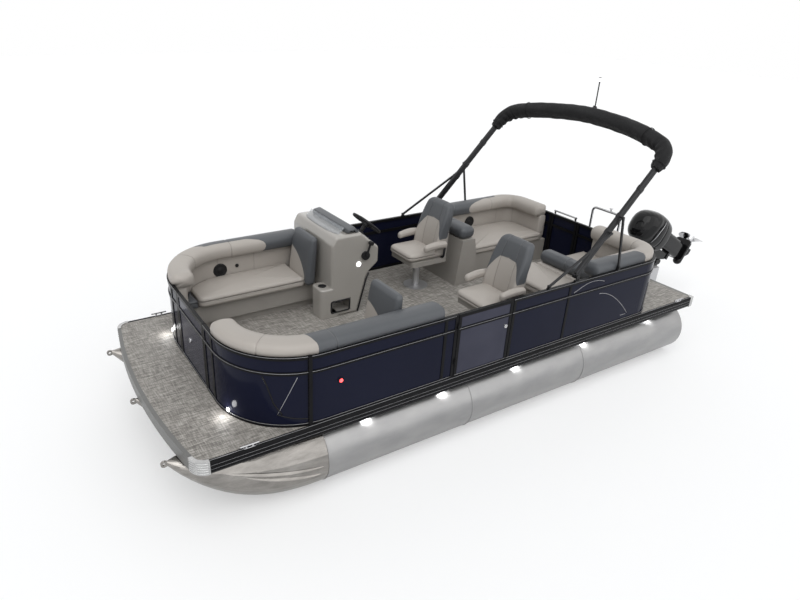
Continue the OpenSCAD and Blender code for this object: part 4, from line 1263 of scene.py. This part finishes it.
class BOAT_OT_bow_lounges(bpy.types.Operator):
    """Bow seats, chaise backs, padded rolls and their speakers"""
    bl_idname = "boat.bow_lounges"
    bl_label = "Bow lounges"

    def execute(self, context):
        dress("bow_lounge_bases", "base_panel", 25)
        wall = 0.1510
        arc_r = BOW_R - wall
        arc_c = (FENCE_X1 - BOW_R, FENCE_Y - BOW_R)
        x0, x1, y0 = 4.381, 5.558, 0.632
        angle = math.degrees(math.acos((x1 - arc_c[0]) / arc_r))
        seats, backs = [], []
        for side, name in ((1, "port"), (-1, "starboard")):
            rounded = arc_points(arc_c, arc_r - 0.002, angle, 90, 16)
            plan = [(x0, y0)] + [(x1 - 0.05, y0), (x1 - 0.015, y0 + 0.015), (x1, y0 + 0.05)]
            plan += [(x1, rounded[0][1] - 0.02)] + rounded[1:] + [(x0, FENCE_Y - wall - 0.002)]
            seats.append(cushion("bow_seat_" + name, [(x, side * y) for x, y in plan], CUSHION_FOOT,
                                 SEAT_TOP - 0.014, "boat", "upholstery_beige", 0.034).name)
            x2 = x1 + 0.010
            start = math.degrees(math.asin((y0 + 0.03 - arc_c[1]) / (arc_r - 0.002)))
            stop = math.degrees(math.acos((x2 - arc_c[0]) / (arc_r - 0.002)))
            plan = [(x2, y0 + 0.03)] + arc_points(arc_c, arc_r - 0.003, start, stop, 10)
            cushion("bow_wedge_" + name, [(x, side * y) for x, y in plan], CUSHION_FOOT, SEAT_TOP - 0.038,
                    "boat", "upholstery_slate", 0.02, tone=1.0, step=0.03)
            backs.append(self.back(name, side))
        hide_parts("bow_lounge_cushions")
        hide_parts("bow_lounge_backs")
        self.rolls()
        self.speakers()
        return {"FINISHED"}

    def back(self, name, side):
        """Leaning chaise back, slate above a curved seam and beige in its lower outer corner"""
        low, high = 0.571, 1.041
        size = (0.118, high - low, 0.545)

        def tone(local):
            across = (size[1] / 2 - local[:, 1]) / size[1]
            up = (local[:, 2] + size[2] / 2) / size[2]
            curve = 0.64 * np.sqrt(1 - (1 - np.clip((across - 0.10) / 0.90, 0, 1)) ** 2)
            return (up - curve) * size[2] * 0.8

        def seam_of(local):
            return np.abs(tone(local))

        def warp(local):
            out = local.copy()
            up = (local[:, 2] + size[2] / 2) / size[2]
            out[:, 0] *= 1 - 0.34 * up
            out[:, 0] += 0.030 * (1 - up) - 0.030 * up ** 1.4
            out[:, 1] *= 1 - 0.05 * np.clip(up - 0.72, 0, 1) / 0.28
            return out

        shape = pad_shape(size, 0.045, (0.020, 0.0, 0.0), inner=22)
        place = (4.296, side * (low + high) / 2, BASE_TOP + 0.022 + size[2] / 2)
        piece = soft_piece("chaise_back_" + name, shape, place, "boat", "upholstery_slate", tone,
                           seam_of(np.array(shape[0])), warp)
        return piece.name

    def rolls(self):
        first = None
        for side, name, stop in ((1, "port", 3.923), (-1, "starboard", 4.208)):
            line = fence_line(0, bow_y=0.484, side_x=(5.15, stop))
            line = [p for p in line if p[0] >= stop]
            section = roll_section(-0.232, -0.010, PAD_TOP + 0.004, FENCE_TOP + 0.098, True)

            def port_tone(x, y, u, z):
                edge = 5.24 - 0.35 * (u + 0.10)
                lower = (z - 1.452) if u < -0.19 else 1.0
                return min(edge - x, max(lower, 4.30 - x) * 0.7)

            def starboard_tone(x, y, u, z):
                narrow = 0.100 * max(0.0, min(1.0, (x - 4.62) / 0.22)) if x < 5.6 else 0.100
                return min(5.44 - abs(u + 0.04) * 0.8 - x, (u + 0.245) - narrow)

            roll = sweep_pad("bow_roll_" + name, line, section, "boat", "upholstery_slate", side,
                             port_tone if side > 0 else starboard_tone, ends=(0.07, 0.03),
                             seams=(0.62, 1.30))
            side_pad("bow_side_pad_" + name, line, side, (0.03, 0.02), (0.55, 1.12, 1.55))
            first = first or roll
        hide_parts("bow_bolsters")

    def speakers(self):
        add_speaker("bow_speaker", (5.160, 1.262), (4.965, 1.283))


def side_pad(name, line, side, ends, seams):
    """The flat pad under a roll, against the fence's inboard face"""
    section = round_section(-0.1495, -0.0335, SEAT_TOP - 0.124, PAD_TOP + 0.010, 0.024, 0.004)
    sweep_pad(name, line[1:], section, "boat", "upholstery_beige", side, -1.0, seams, ends,
              (SEAT_TOP + 0.012,))


def add_speaker(name, speaker_at, switch_at):
    """A round speaker, with its ring, cone and cap, and a switch, each at (x, z) on a starboard side pad"""
    x, z = speaker_at
    made = [lathe([(0.078, 0), (0.078, 0.007), (0.070, 0.012), (0.066, 0.006), (0.046, 0.002), (0.030, 0.004),
                   (0.022, 0.009), (0.010, 0.011), (0.001, 0.0115)], (x, SPEAKER_Y, z), (0, 1, 0), 40)]
    x, z = switch_at
    made.append(disc((x, SPEAKER_Y, z), (0, 1, 0), 0.020, 0.012))
    add_parts(name, made, "boat", "black_plastic", sharp=35)


def roll_section(u0, u1, z0, z1, over):
    """The roll's section: it hangs inboard of the fence and, where over is true, laps over the rail"""
    rest = FENCE_TOP + 0.002
    top = [(u1, rest), (u1, z1 - 0.052), (u1 - 0.006, z1 - 0.030), (u1 - 0.024, z1 - 0.010)]
    for t in np.linspace(0, 1, 7)[1:-1]:
        u = u1 - 0.024 + (u0 + 0.030 - u1 + 0.024) * t
        top.append((u, z1 - 0.010 + 0.013 * math.sin(math.pi * t)))
    top += [(u0 + 0.030, z1 - 0.010), (u0 + 0.010, z1 - 0.028), (u0, z1 - 0.054), (u0 - 0.003, z1 - 0.085),
            (u0 + 0.004, z0 + 0.030), (u0 + 0.016, z0 + 0.009), (u0 + 0.040, z0), (u0 + 0.100, z0)]
    if over:
        return top + [(-0.048, z0), (-0.036, z0 + 0.008), (-0.034, z0 + 0.030), (-0.034, rest)]
    return top + [(u1 - 0.02, z0), (u1 - 0.004, z0 + 0.01), (u1, z0 + 0.03)]


class BOAT_OT_aft_lounges(bpy.types.Operator):
    """Stern bench and starboard lounge with their backs, rolls and speakers"""
    bl_idname = "boat.aft_lounges"
    bl_label = "Aft lounges"

    def execute(self, context):
        dress("aft_lounge_bases", "base_panel", 25)
        wall = 0.153
        arc_r = STERN_R - wall
        centre = (FENCE_X0 + STERN_R, FENCE_Y - STERN_R)
        low, high = CUSHION_FOOT, SEAT_TOP - 0.014
        inner = FENCE_Y - wall
        aft = FENCE_X0 + wall
        bench = cushion("bench_seat", fillet([(1.722, 0.202), (2.228, 0.202), (2.228, inner), (1.722, inner)],
                                             [0.02, 0.06, 0.02, 0.02]), low, high, "boat", "upholstery_beige")
        corner = arc_points(centre, arc_r, 90, 180, 12)
        plan = [(1.492, 0.242), (1.492, inner)] + corner + [(aft, 0.242)]
        cushion("sun_pad", plan, low, high, "boat", "upholstery_beige")
        mirror = [(x, -y) for x, y in corner]
        plan = [(2.078, -0.482), (2.078, -inner)] + mirror + [(aft, -0.482)]
        cushion("starboard_seat", plan, low, high, "boat", "upholstery_beige")
        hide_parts("aft_lounge_cushions")
        self.backs()
        self.rolls()
        return {"FINISHED"}

    def backs(self):
        inner = 1.1230
        lower = pad_shape((0.214, inner - 0.242, 0.118), 0.030, (0.006, 0, 0.004), seams=((1, 0.0),))
        place = (1.6095, (inner + 0.242) / 2, CUSHION_FOOT + 0.060)
        first = soft_piece("bench_back_foot", lower, place, "boat", "upholstery_beige", -1.0)
        top = pad_shape((0.176, 0.798, 0.146), 0.060, (0.004, 0, 0.006), seams=((1, 0.0),), inner=22)
        place = (1.610, 0.642, SEAT_TOP - 0.005 + 0.073)
        soft_piece("bench_back_roll", top, place, "boat", "upholstery_slate", 1.0)
        roll = pad_shape((0.216, 0.664, 0.146), 0.062, (0.004, 0, 0.006), seams=((1, 0.0),), inner=22)
        place = (2.274, -0.7075, 1.3805 + 0.0745)
        soft_piece("end_roll", roll, place, "boat", "upholstery_slate", 1.0)
        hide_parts("aft_lounge_backs")

    def rolls(self):
        first = None
        for side, name, start, end in ((1, "port", 1.928, 0.314), (-1, "starboard", 2.117, 0.534)):
            line = fence_line(0, side_x=(start, FENCE_X0 + STERN_R), stern_y=end)
            section = roll_section(-0.232, -0.034, PAD_TOP + 0.004, FENCE_TOP + 0.098, False)

            def tone(x, y, u, z):
                narrow = 0.10 * max(0.0, min(1.0, (1.75 - x) / 0.35))
                return min(x - 1.12 + (u + 0.03) * 0.6, (u + 0.245) - narrow)

            roll = sweep_pad("aft_roll_" + name, line, section, "boat", "upholstery_slate", side, tone,
                             ends=(0.05, 0.05), seams=(0.80, 1.38))
            side_pad("aft_side_pad_" + name, line, side, (0.03, 0.03), (0.45, 0.95, 1.36))
            first = first or roll
        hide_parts("aft_bolsters")
        add_speaker("aft_speaker", (1.62, 1.275), (1.82, 1.285))


class BOAT_OT_helm(bpy.types.Operator):
    """Moulded console with its dash, screen, gauges, wheel and throttle"""
    bl_idname = "boat.helm"
    bl_label = "Helm"

    def execute(self, context):
        self.console()
        self.dash()
        self.details()
        dress("steering_wheel", "black_plastic", 40)
        dress("throttle", "black_plastic", 40)
        self.wheel_face()
        return {"FINISHED"}

    def console(self):
        side = CONSOLE_SIDE
        outline = fillet([(3.870, 0.802), (3.750, 1.250), (3.610, 1.360), (3.610, 1.540), (3.845, 1.735),
                          (4.150, 1.735), (4.200, 1.640), (4.200, 0.802)],
                         [0.0, 0.16, 0.06, 0.05, 0.03, 0.06, 0.08, 0.0], 8)
        points, faces, _ = rim_shape(even_outline(outline, 0.08), -1.240, side, 0.030, low_radius=0.004)
        shell = ([(a, c, b) for a, b, c in points], [f[::-1] for f in faces])
        cutters = [block((3.960, side - 0.160, 0.852), (4.330, side + 0.01, 1.000)),
                   block((3.500, -1.150, 0.880), (4.060, -0.490, 1.360))]
        points, faces = cut_out(shell, cutters)
        body = add_mesh("console_shell", points, faces, "boat", "gelcoat", sharp=30)
        proud = side + 0.0005
        outline = fillet([(4.120, -0.566), (4.330, -0.566), (4.330, proud), (4.120, proud)],
                         [0, 0.055, 0.055, 0], 8)
        points, faces, _ = rim_shape(even_outline(outline, 0.06), 0.802, 1.150, 0.022, low_radius=0.004)
        cup = lathe([(0.040, 0), (0.040, 0.12)], (4.255, -0.450, 1.070), (0, 0, 1), 36)
        cubby = block((3.960, side - 0.160, 0.852), (4.210, side + 0.01, 1.000))
        points, faces = cut_out((points, faces), [cup, cubby])
        add_mesh("console_step", points, faces, "boat", "gelcoat", sharp=30)
        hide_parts("helm_console")

    def dash(self):
        outline = fillet([(3.846, 1.737), (4.000, 1.737), (3.992, 1.786), (3.905, 1.800)],
                         [0.004, 0.01, 0.02, 0.03])
        points, faces, _ = rim_shape(even_outline(outline, 0.03), -1.178, -0.362, 0.030)
        hood = add_mesh("dash_hood", [(a, c, b) for a, b, c in points], [f[::-1] for f in faces], "boat",
                        "black_plastic", "visor_grey")
        boss = wheel_place()
        cone = lathe([(0.040, 0.0), (0.040, 0.024), (0.032, 0.031), (0.023, 0.032)],
                     boss @ Vector((0, 0, -0.139)), boss.to_3x3() @ Vector((0, 0, 1)), 32)
        add_mesh("shaft_boss", *cone, "boat", "black_plastic", sharp=35)
        rows = []
        for k in range(33):
            t = k / 32 * 2 - 1
            y = -0.775 + 0.375 * t
            x = 4.140 - 0.055 * t ** 4
            for h in np.linspace(0, 1, 6):
                rows.append((x - 0.065 * h, y, 1.736 + 0.094 * h * (1 - 0.35 * t ** 4)))
        low = len(rows)
        rows += [(x - 0.005, y, z) for x, y, z in rows]
        faces = grid_faces(33, 6)
        faces += [[i + low for i in f[::-1]] for f in faces]
        for k in range(32):
            a, b = k * 6 + 5, (k + 1) * 6 + 5
            faces.append([a, b, b + low, a + low])
            a, b = k * 6, (k + 1) * 6
            faces.append([b, a, a + low, b + low])
        add_mesh("wind_screen", rows, faces, "boat", "black_gloss", "smoked_acrylic")
        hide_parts("helm_dash")
        low, high = DASH_LOW, DASH_HIGH
        normal = Vector((-(high.z - low.z), 0, high.x - low.x)).normalized()
        along = (high - low).normalized()
        plate = fillet([(0.03, -1.14), (0.27, -1.14), (0.27, -0.40), (0.03, -0.40)], 0.03)
        points, faces, _ = rim_shape(even_outline(plate, 0.05), 0.0006, 0.007, 0.003)
        placed = [low + along * a + Vector((0, b, 0)) + normal * c for a, b, c in points]
        add_mesh("dash_plate", placed, faces, "boat", "black_gloss", "dial_face", sharp=30)
        made = []
        for y in (-0.93, -0.78):
            centre = low + along * 0.17 + Vector((0, y, 0)) + normal * 0.0065
            made.append(lathe([(0.052, 0), (0.052, 0.006), (0.046, 0.008), (0.043, 0.002), (0.001, 0.0015)],
                              centre, normal, 40))
        for k in range(6):
            centre = low + along * 0.07 + Vector((0, -0.74 - 0.055 * k, 0)) + normal * 0.0065
            made.append(disc(centre, normal, 0.012, 0.009))
        add_parts("gauges_and_switches", made, "boat", "stainless", sharp=35)

    def details(self):
        side = CONSOLE_SIDE
        ring = lathe([(0.046, 0.0), (0.046, 0.004), (0.043, 0.006), (0.0395, 0.004), (0.0390, -0.03)],
                     (4.255, -0.450, 1.1490), (0, 0, 1), 40)
        add_mesh("cup_ring", *ring, "boat", "black_plastic", sharp=35)
        light = disc((3.870, side - 0.002, 1.380), (0, 1, 0), 0.026, 0.010)
        add_mesh("console_light", *light, "boat", "light_lens")
        frame_path = fillet([(3.975, 0.858), (4.205, 0.858), (4.205, 0.992), (3.975, 0.992)], 0.024)
        ring = [(x, side + 0.002, z) for x, z in frame_path]
        add_mesh("cubby_trim", *tube_between(ring, 0.0085, 10, closed=True), "boat", "black_plastic")
        edge = [(3.868, side + 0.001, 0.810), (3.835, side + 0.001, 0.935), (3.795, side + 0.001, 1.085),
                (3.768, side + 0.001, 1.185), (3.735, side + 0.001, 1.255)]
        add_mesh("console_edge_trim", *tube_between(edge, 0.0095, 10), "boat", "black_plastic")

    def wheel_face(self):
        """Grips on the rim and a cap on the hub"""
        place = wheel_place()
        made = []
        rim = 0.171
        for start in (20, 140, 260):
            path = [place @ Vector((rim * math.cos(math.radians(a)), rim * math.sin(math.radians(a)), 0))
                    for a in np.linspace(start, start + 50, 14)]
            made.append(tube_between(path, 0.0165, 14))
        add_parts("wheel_grips", made, "steering_wheel", "black_plastic")
        cap = lathe([(0.040, 0.0), (0.040, 0.004), (0.034, 0.009), (0.018, 0.012), (0.001, 0.0125)],
                    place @ Vector((0, 0, 0.009)), place.to_3x3() @ Vector((0, 0, 1)), 36)
        add_mesh("wheel_cap", *cap, "steering_wheel", "stainless")


def wheel_place():
    """Where the wheel is, with its shaft along Z"""
    tilt = math.radians(50)
    middle = (DASH_LOW + DASH_HIGH) / 2 + Vector((0, -0.560, 0))
    centre = middle + Vector((-math.cos(tilt), 0, math.sin(tilt))) * 0.140
    return Matrix.Translation(centre) @ Matrix.Rotation(tilt - math.pi / 2, 4, "Y")


class BOAT_OT_seats(bpy.types.Operator):
    """Two swivel seats: crowned seat, wings, headrest and arm pads"""
    bl_idname = "boat.seats"
    bl_label = "Swivel seats"

    def execute(self, context):
        dress("seat_pedestals", "frame_aluminium")
        for name, centre in (("helm", (2.850, -0.620)), ("companion", (2.960, 0.780))):
            dress(name + "_seat_frame", "base_panel", 30)
            self.seat(name, centre)
        return {"FINISHED"}

    def seat(self, name, centre):
        body = name + "_seat"
        x, y = centre
        low = DECK + 0.412
        plan = fillet([(x - 0.148, y - 0.228), (x + 0.278, y - 0.228), (x + 0.278, y + 0.228),
                       (x - 0.148, y + 0.228)], [0.03, 0.09, 0.09, 0.03], 8)
        seat = cushion(body + "_pad", plan, low + 0.002, low + 0.098, body, "upholstery_beige", 0.042,
                       seams=[low + 0.050])

        def lean(local):
            out = local.copy()
            up = (local[:, 2] + 0.31) / 0.62
            wing = (np.abs(local[:, 1]) / 0.23) ** 2.4
            out[:, 0] -= 0.125 * np.clip(up, 0, 1) ** 1.5
            out[:, 0] += 0.085 * wing * (local[:, 0] > 0) * np.clip(1.25 - up, 0.2, 1)
            out[:, 1] *= 1 - 0.16 * np.clip((up - 0.62) / 0.38, 0, 1) ** 2
            return out

        def tone(local):
            up = (local[:, 2] + 0.31) / 0.62
            across = np.abs(local[:, 1]) / 0.23
            curve = 0.66 - 0.30 * np.clip((across - 0.50) / 0.5, 0, 1) ** 1.3 + 0.03 * (1 - across)
            return (up - curve) * 0.5

        size = (0.098, 0.458, 0.622)
        shape = pad_shape(size, 0.044, (0.016, 0.0, 0.004), seams=((1, -0.105), (1, 0.105)), inner=24)
        place = (x - 0.198, y, low + 0.004 + size[2] / 2)
        edge = np.abs(tone(np.array(shape[0])))
        soft_piece(body + "_back", shape, place, body, "upholstery_beige", tone, edge, lean)
        for side, hand in ((-1, "starboard"), (1, "port")):
            arm = pad_shape((0.330, 0.066, 0.078), 0.030, (0, 0.003, 0.008), inner=18)

            def droop(local):
                out = local.copy()
                along = (local[:, 0] + 0.165) / 0.33
                out[:, 2] += 0.016 * np.sin(along * math.pi) - 0.010 * along
                out[:, 1] *= 1 + 0.10 * np.sin(along * math.pi)
                return out

            arm_y = y + side * 0.2655
            place = (x - 0.055, arm_y, low + 0.172)
            soft_piece(body + "_arm_" + hand, arm, place, body, "upholstery_beige", -1.0, None, droop)
            rest = tube_between([(x - 0.20, arm_y, low + 0.150), (x - 0.20, y + side * 0.250, low + 0.02),
                                 (x - 0.17, y + side * 0.20, low - 0.03)], 0.014, 12)
            add_mesh(body + "_bracket_" + hand, *rest, body, "black_plastic")
        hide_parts(name + "_seat_cushions")


class BOAT_OT_bimini(bpy.types.Operator):
    """Furled top in its canvas boot, arms, struts and the light pole"""
    bl_idname = "boat.bimini"
    bl_label = "Bimini top"

    def execute(self, context):
        for node in ("bimini_arms", "front_struts", "rear_braces"):
            dress(node, "black_tube")
        dress("bimini_mounts", "black_plastic")
        dress("light_pole", "black_plastic")
        self.boot()
        self.pole_light()
        return {"FINISHED"}

    def on_arms(self, across, along, off):
        """A point given across, along and off the plane of the arms"""
        sine, cosine = math.sin(ARMS_LEAN), math.cos(ARMS_LEAN)
        return Vector((ARMS_FOOT.x - along * cosine + off * sine, across,
                       ARMS_FOOT.z + along * sine + off * cosine))

    def boot(self):
        half, corner, crown_r, start = 1.202, 0.230, 3.600, 1.3803
        turn = math.pi / 2 - math.asin((half - corner) / (crown_r - corner))
        path = [(half, start + 0.08 * t, 0.0) for t in np.linspace(0, 1, 5)]
        hub = (half - corner, start + 0.08)
        path += [(hub[0] + corner * math.cos(a), hub[1] + corner * math.sin(a), a)
                 for a in np.linspace(0, turn, 16)[1:]]
        big = (0, start + 0.08 - (crown_r - corner) * math.sin(turn))
        path += [(big[0] + crown_r * math.cos(a), big[1] + crown_r * math.sin(a), a)
                 for a in np.linspace(turn, math.pi / 2, 52)[1:]]
        path += [(-p, q, math.pi - a) for p, q, a in path[-2::-1]]
        count, sides = len(path), 44
        points, seam = [], []
        run = 0.0
        for i, (p, q, a) in enumerate(path):
            run += 0 if i == 0 else math.hypot(p - path[i - 1][0], q - path[i - 1][1])
            near_end = min(i, count - 1 - i) / 5
            bend = math.exp(-((abs(p) - 1.11) / 0.16) ** 2)
            fat = 1.0 - 0.42 * math.exp(-near_end * 0.75)
            for j in range(sides):
                b = 2 * math.pi * j / sides
                c, s = math.cos(b), math.sin(b)
                wide = squared(c, 0.8) * 0.083
                tall = squared(s, 0.8) * 0.091
                fold = (0.0012 * math.sin(run * 23 + 2.2 * math.sin(b * 2 + run * 3)) * (1 - 0.5 * c)
                        + 0.0009 * math.sin(run * 41 + b * 3) + 0.0020 * math.sin(run * 7.3 + b * 5))
                fold += bend * 0.0075 * math.sin(b * 2.0 + run * 62) * max(0.0, 0.35 - c)
                fold += 0.0045 * math.exp(-near_end * 0.9) * math.sin(b * 9 + run * 20)
                stretch = fat + fold / 0.085
                out = wide * stretch
                points.append(self.on_arms(p + out * math.cos(a), q + out * math.sin(a), tall * stretch))
        faces = [f[::-1] for f in grid_faces(count, sides, False, True)]
        faces.append(list(range(sides)))
        faces.append([count * sides - 1 - j for j in range(sides)])
        boot = add_mesh("canvas_boot", points, faces, "bimini", "boot_canvas")
        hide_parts("bimini_boot")
        zip_line = []
        for i in range(4, count - 4):
            p, q, a = path[i]
            zip_line.append(self.on_arms(p - 0.0800 * math.cos(a), q - 0.0800 * math.sin(a), -0.022))
        add_mesh("boot_zip", *tube_between(zip_line, 0.006, 8), "bimini", "black_plastic")
        straps = []
        for side in (-1, 1):
            for i, size in ((3, 0.76), (27, 1.01)):
                p, q, a = path[i]
                loop = []
                for j in range(36):
                    b = 2 * math.pi * j / 36
                    out = 0.088 * squared(math.cos(b), 0.8) * size
                    off = 0.096 * squared(math.sin(b), 0.8) * size
                    loop.append(self.on_arms(side * (p + out * math.cos(a)), q + out * math.sin(a), off))
                straps.append(tube_between(loop, 0.0042, 6, closed=True))
        add_parts("boot_straps", straps, "bimini", "boot_canvas")

    def pole_light(self):
        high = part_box("light_pole")[1]
        lens = lathe([(0.0158, 0.0), (0.0162, 0.006), (0.0162, 0.026), (0.012, 0.034), (0.001, 0.037)],
                     (self.pole_x(), 0, high.z - 0.038), (0, 0, 1), 28)
        add_mesh("pole_lens", *lens, "bimini", "light_lens")

    def pole_x(self):
        """Where the pole's upright stands: over the arm plane's top"""
        corners = [v.co for v in frame["nodes"]["light_pole"].data.vertices]
        top = max(c.z for c in corners)
        near = [c.x for c in corners if c.z > top - 0.01]
        return (min(near) + max(near)) / 2


class BOAT_OT_stern(bpy.types.Operator):
    """Tow bar at the stern"""
    bl_idname = "boat.stern"
    bl_label = "Stern fittings"

    def execute(self, context):
        x, y, top = 0.250, 0.220, DECK + 0.760
        radius, bend = 0.016, 0.055
        path = [(x, -y, DECK + 0.004), (x, -y, DECK + 0.3), (x, -y, top - bend)]
        path += [(x, -y + bend * (1 - math.cos(a)), top - bend + bend * math.sin(a))
                 for a in np.linspace(0, math.pi / 2, 8)[1:]]
        path += [(x, -across, up) for _, across, up in path[::-1]]
        made = [tube_between(path, radius, 16)]
        for side in (-1, 1):
            made.append(lathe([(0.045, 0), (0.045, 0.005), (0.040, 0.008), (0.019, 0.011), (0.0165, 0.020)],
                              (x, side * y, DECK), (0, 0, 1), 32))
            for a in range(4):
                turn = math.radians(45 + 90 * a)
                bolt = (x + 0.032 * math.cos(turn), side * y + 0.032 * math.sin(turn), DECK + 0.008)
                made.append(lathe([(0.006, 0), (0.005, 0.003), (0.001, 0.004)], bolt, (0, 0, 1), 12))
        made.append(lathe([(0.009, 0.0), (0.009, 0.040), (0.020, 0.042), (0.023, 0.048), (0.020, 0.054),
                           (0.001, 0.056)], (x, 0.060, top), (0, 0, 1), 28))
        bar = add_parts("tow_frame", made, "boat", "stainless", sharp=40)
        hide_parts("tow_bar")
        return {"FINISHED"}


class BOAT_OT_motor(bpy.types.Operator):
    """Outboard motor: sculpted cowl, leg, brackets and propeller"""
    bl_idname = "boat.motor"
    bl_label = "Motor"

    def execute(self, context):
        for node in ("motor_clamp", "swivel_bracket", "motor_leg"):
            dress(node, "black_gloss", 35)
        self.cowl()
        self.propeller()
        return {"FINISHED"}

    def on_motor(self, x, y, z):
        """A point given in the upright motor's own axes, from the tilt hinge"""
        sine, cosine = math.sin(MOTOR_LEAN), math.cos(MOTOR_LEAN)
        return Vector((MOTOR_FOOT.x + x * cosine + z * sine, y, MOTOR_FOOT.z - x * sine + z * cosine))

    def cowl(self):
        """A squared-up shell through stations of (height, back, front, half width), with a bright line
        on each flank"""
        stations = [(0.0915, -0.268, 0.198, 0.186), (0.096, -0.274, 0.204, 0.192),
                    (0.120, -0.280, 0.208, 0.198), (0.180, -0.290, 0.212, 0.203),
                    (0.250, -0.297, 0.216, 0.206), (0.262, -0.290, 0.209, 0.199),
                    (0.276, -0.298, 0.217, 0.207), (0.360, -0.298, 0.218, 0.206),
                    (0.450, -0.287, 0.212, 0.198), (0.540, -0.262, 0.198, 0.182),
                    (0.600, -0.236, 0.183, 0.165), (0.650, -0.200, 0.160, 0.140),
                    (0.685, -0.155, 0.128, 0.105), (0.705, -0.100, 0.088, 0.066),
                    (0.7115, -0.040, 0.040, 0.024)]
        sides, power = 64, 0.78
        points = []
        fine = []
        for k in range(len(stations) - 1):
            steps = 2 if stations[k + 1][0] - stations[k][0] < 0.03 else 4
            for s in range(steps):
                fine.append([a + (b - a) * s / steps for a, b in zip(stations[k], stations[k + 1])])
        fine.append(list(stations[-1]))
        for z, back, front, wide in fine:
            mid, reach = (back + front) / 2, (front - back) / 2
            for j in range(sides):
                a = 2 * math.pi * j / sides
                s = math.sin(a)
                x = mid + reach * squared(math.cos(a), power)
                flank = max(0.0, abs(s) - 0.55) / 0.45
                scoop = math.exp(-((z - 0.42 - 0.25 * (x - mid)) / 0.030) ** 2) * flank
                brow = math.exp(-((z - 0.50 - 0.22 * (x - mid)) / 0.022) ** 2) * flank
                y = wide * squared(s, power) + math.copysign(1, s) * (0.005 * brow - 0.012 * scoop)
                points.append(self.on_motor(COWL_MIDDLE + x, y, z))
        rows = len(fine)
        faces = [f[::-1] for f in grid_faces(rows, sides, False, True)]
        faces.append([sides - 1 - j for j in range(sides)])
        faces.append([(rows - 1) * sides + j for j in range(sides)])
        cowl = add_mesh("cowl_shell", points, faces, "motor", "black_gloss", sharp=60)
        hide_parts("motor_cowl")
        made = []
        for side in (-1, 1):
            path = []
            for t in np.linspace(0, 1, 16):
                x = -0.205 + 0.345 * t
                z = 0.345 + 0.085 * t + 0.02 * math.sin(t * math.pi)
                across = 0.206 * max(0.0, 1 - (abs(x + 0.04) / 0.258) ** (2 / power)) ** (power / 2)
                path.append(self.on_motor(COWL_MIDDLE + x, side * (across + 0.001), z))
            made.append(tube_between(path, 0.0045, 8))
        add_parts("cowl_lines", made, "motor", "stainless", "silver_line")

    def propeller(self):
        hub_x, hub_z = -0.540, -0.770
        rows, columns = 13, 9
        size = rows * columns
        made = []
        for k in range(3):
            roll = math.radians(120 * k)
            blade = []
            for face in (1, -1):
                for i in range(rows):
                    t = i / (rows - 1)
                    radius = 0.046 + 0.142 * t
                    chord = 0.075 * math.sqrt(max(0.0, 1 - (2 * abs(t - 0.52)) ** 2.6 * 0.94)) + 0.006
                    pitch = math.atan2(0.075, radius)
                    for j in range(columns):
                        w = (j / (columns - 1) - 0.5) * 2
                        u = w * chord
                        thick = 0.0045 * (1 - w * w) * (1 - 0.6 * t) + 0.0006
                        across = u * math.cos(pitch)
                        ahead = u * math.sin(pitch) + face * thick - 0.020 * t * t
                        turn = across / radius
                        y = radius * math.cos(roll + turn)
                        z = radius * math.sin(roll + turn)
                        blade.append(self.on_motor(hub_x - 0.055 + ahead, y, hub_z + z))
            faces = grid_faces(rows, columns)
            faces += [[i + size for i in f[::-1]] for f in faces]
            rim = (list(range(columns)) + [i * columns + columns - 1 for i in range(1, rows)]
                   + [(rows - 1) * columns + j for j in range(columns - 2, -1, -1)]
                   + [i * columns for i in range(rows - 2, 0, -1)])
            for i, a in enumerate(rim):
                b = rim[(i + 1) % len(rim)]
                faces.append([a, b, b + size, a + size])
            made.append((blade, faces))
        centre = self.on_motor(hub_x, 0, hub_z)
        axis = self.on_motor(hub_x - 1, 0, hub_z) - centre
        made.append(lathe([(0.0165, -0.001), (0.050, 0.0), (0.054, 0.012), (0.054, 0.090), (0.048, 0.108),
                           (0.040, 0.110), (0.0165, 0.090)], centre, axis, 36))
        prop = add_parts("propeller_blades", made, "propeller", "stainless", sharp=50)
        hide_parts("propeller")


class BOAT_PT_panel(bpy.types.Panel):
    """Lists the boat's pieces and settings"""
    bl_idname = "BOAT_PT_panel"
    bl_label = "Pontoon boat"
    bl_space_type = "VIEW_3D"
    bl_region_type = "UI"
    bl_category = "Boat"

    def draw(self, context):
        for name in BoatFinish.__annotations__:
            self.layout.prop(context.scene.boat_finish, name)
        for step in STEPS:
            self.layout.operator(step.bl_idname)


STEPS = (BOAT_OT_stage, BOAT_OT_hull, BOAT_OT_deck, BOAT_OT_fence, BOAT_OT_bow_lounges, BOAT_OT_aft_lounges,
         BOAT_OT_helm, BOAT_OT_seats, BOAT_OT_bimini, BOAT_OT_stern, BOAT_OT_motor)


def register():
    for made in (BoatFinish, *STEPS, BOAT_PT_panel):
        bpy.utils.register_class(made)
    bpy.types.Scene.boat_finish = bpy.props.PointerProperty(type=BoatFinish)


def unregister():
    del bpy.types.Scene.boat_finish
    for made in (BOAT_PT_panel, *reversed(STEPS), BoatFinish):
        bpy.utils.unregister_class(made)


def main():
    register()
    for step in STEPS:
        group, name = step.bl_idname.split(".")
        getattr(getattr(bpy.ops, group), name)()


if __name__ == "__main__":
    main()
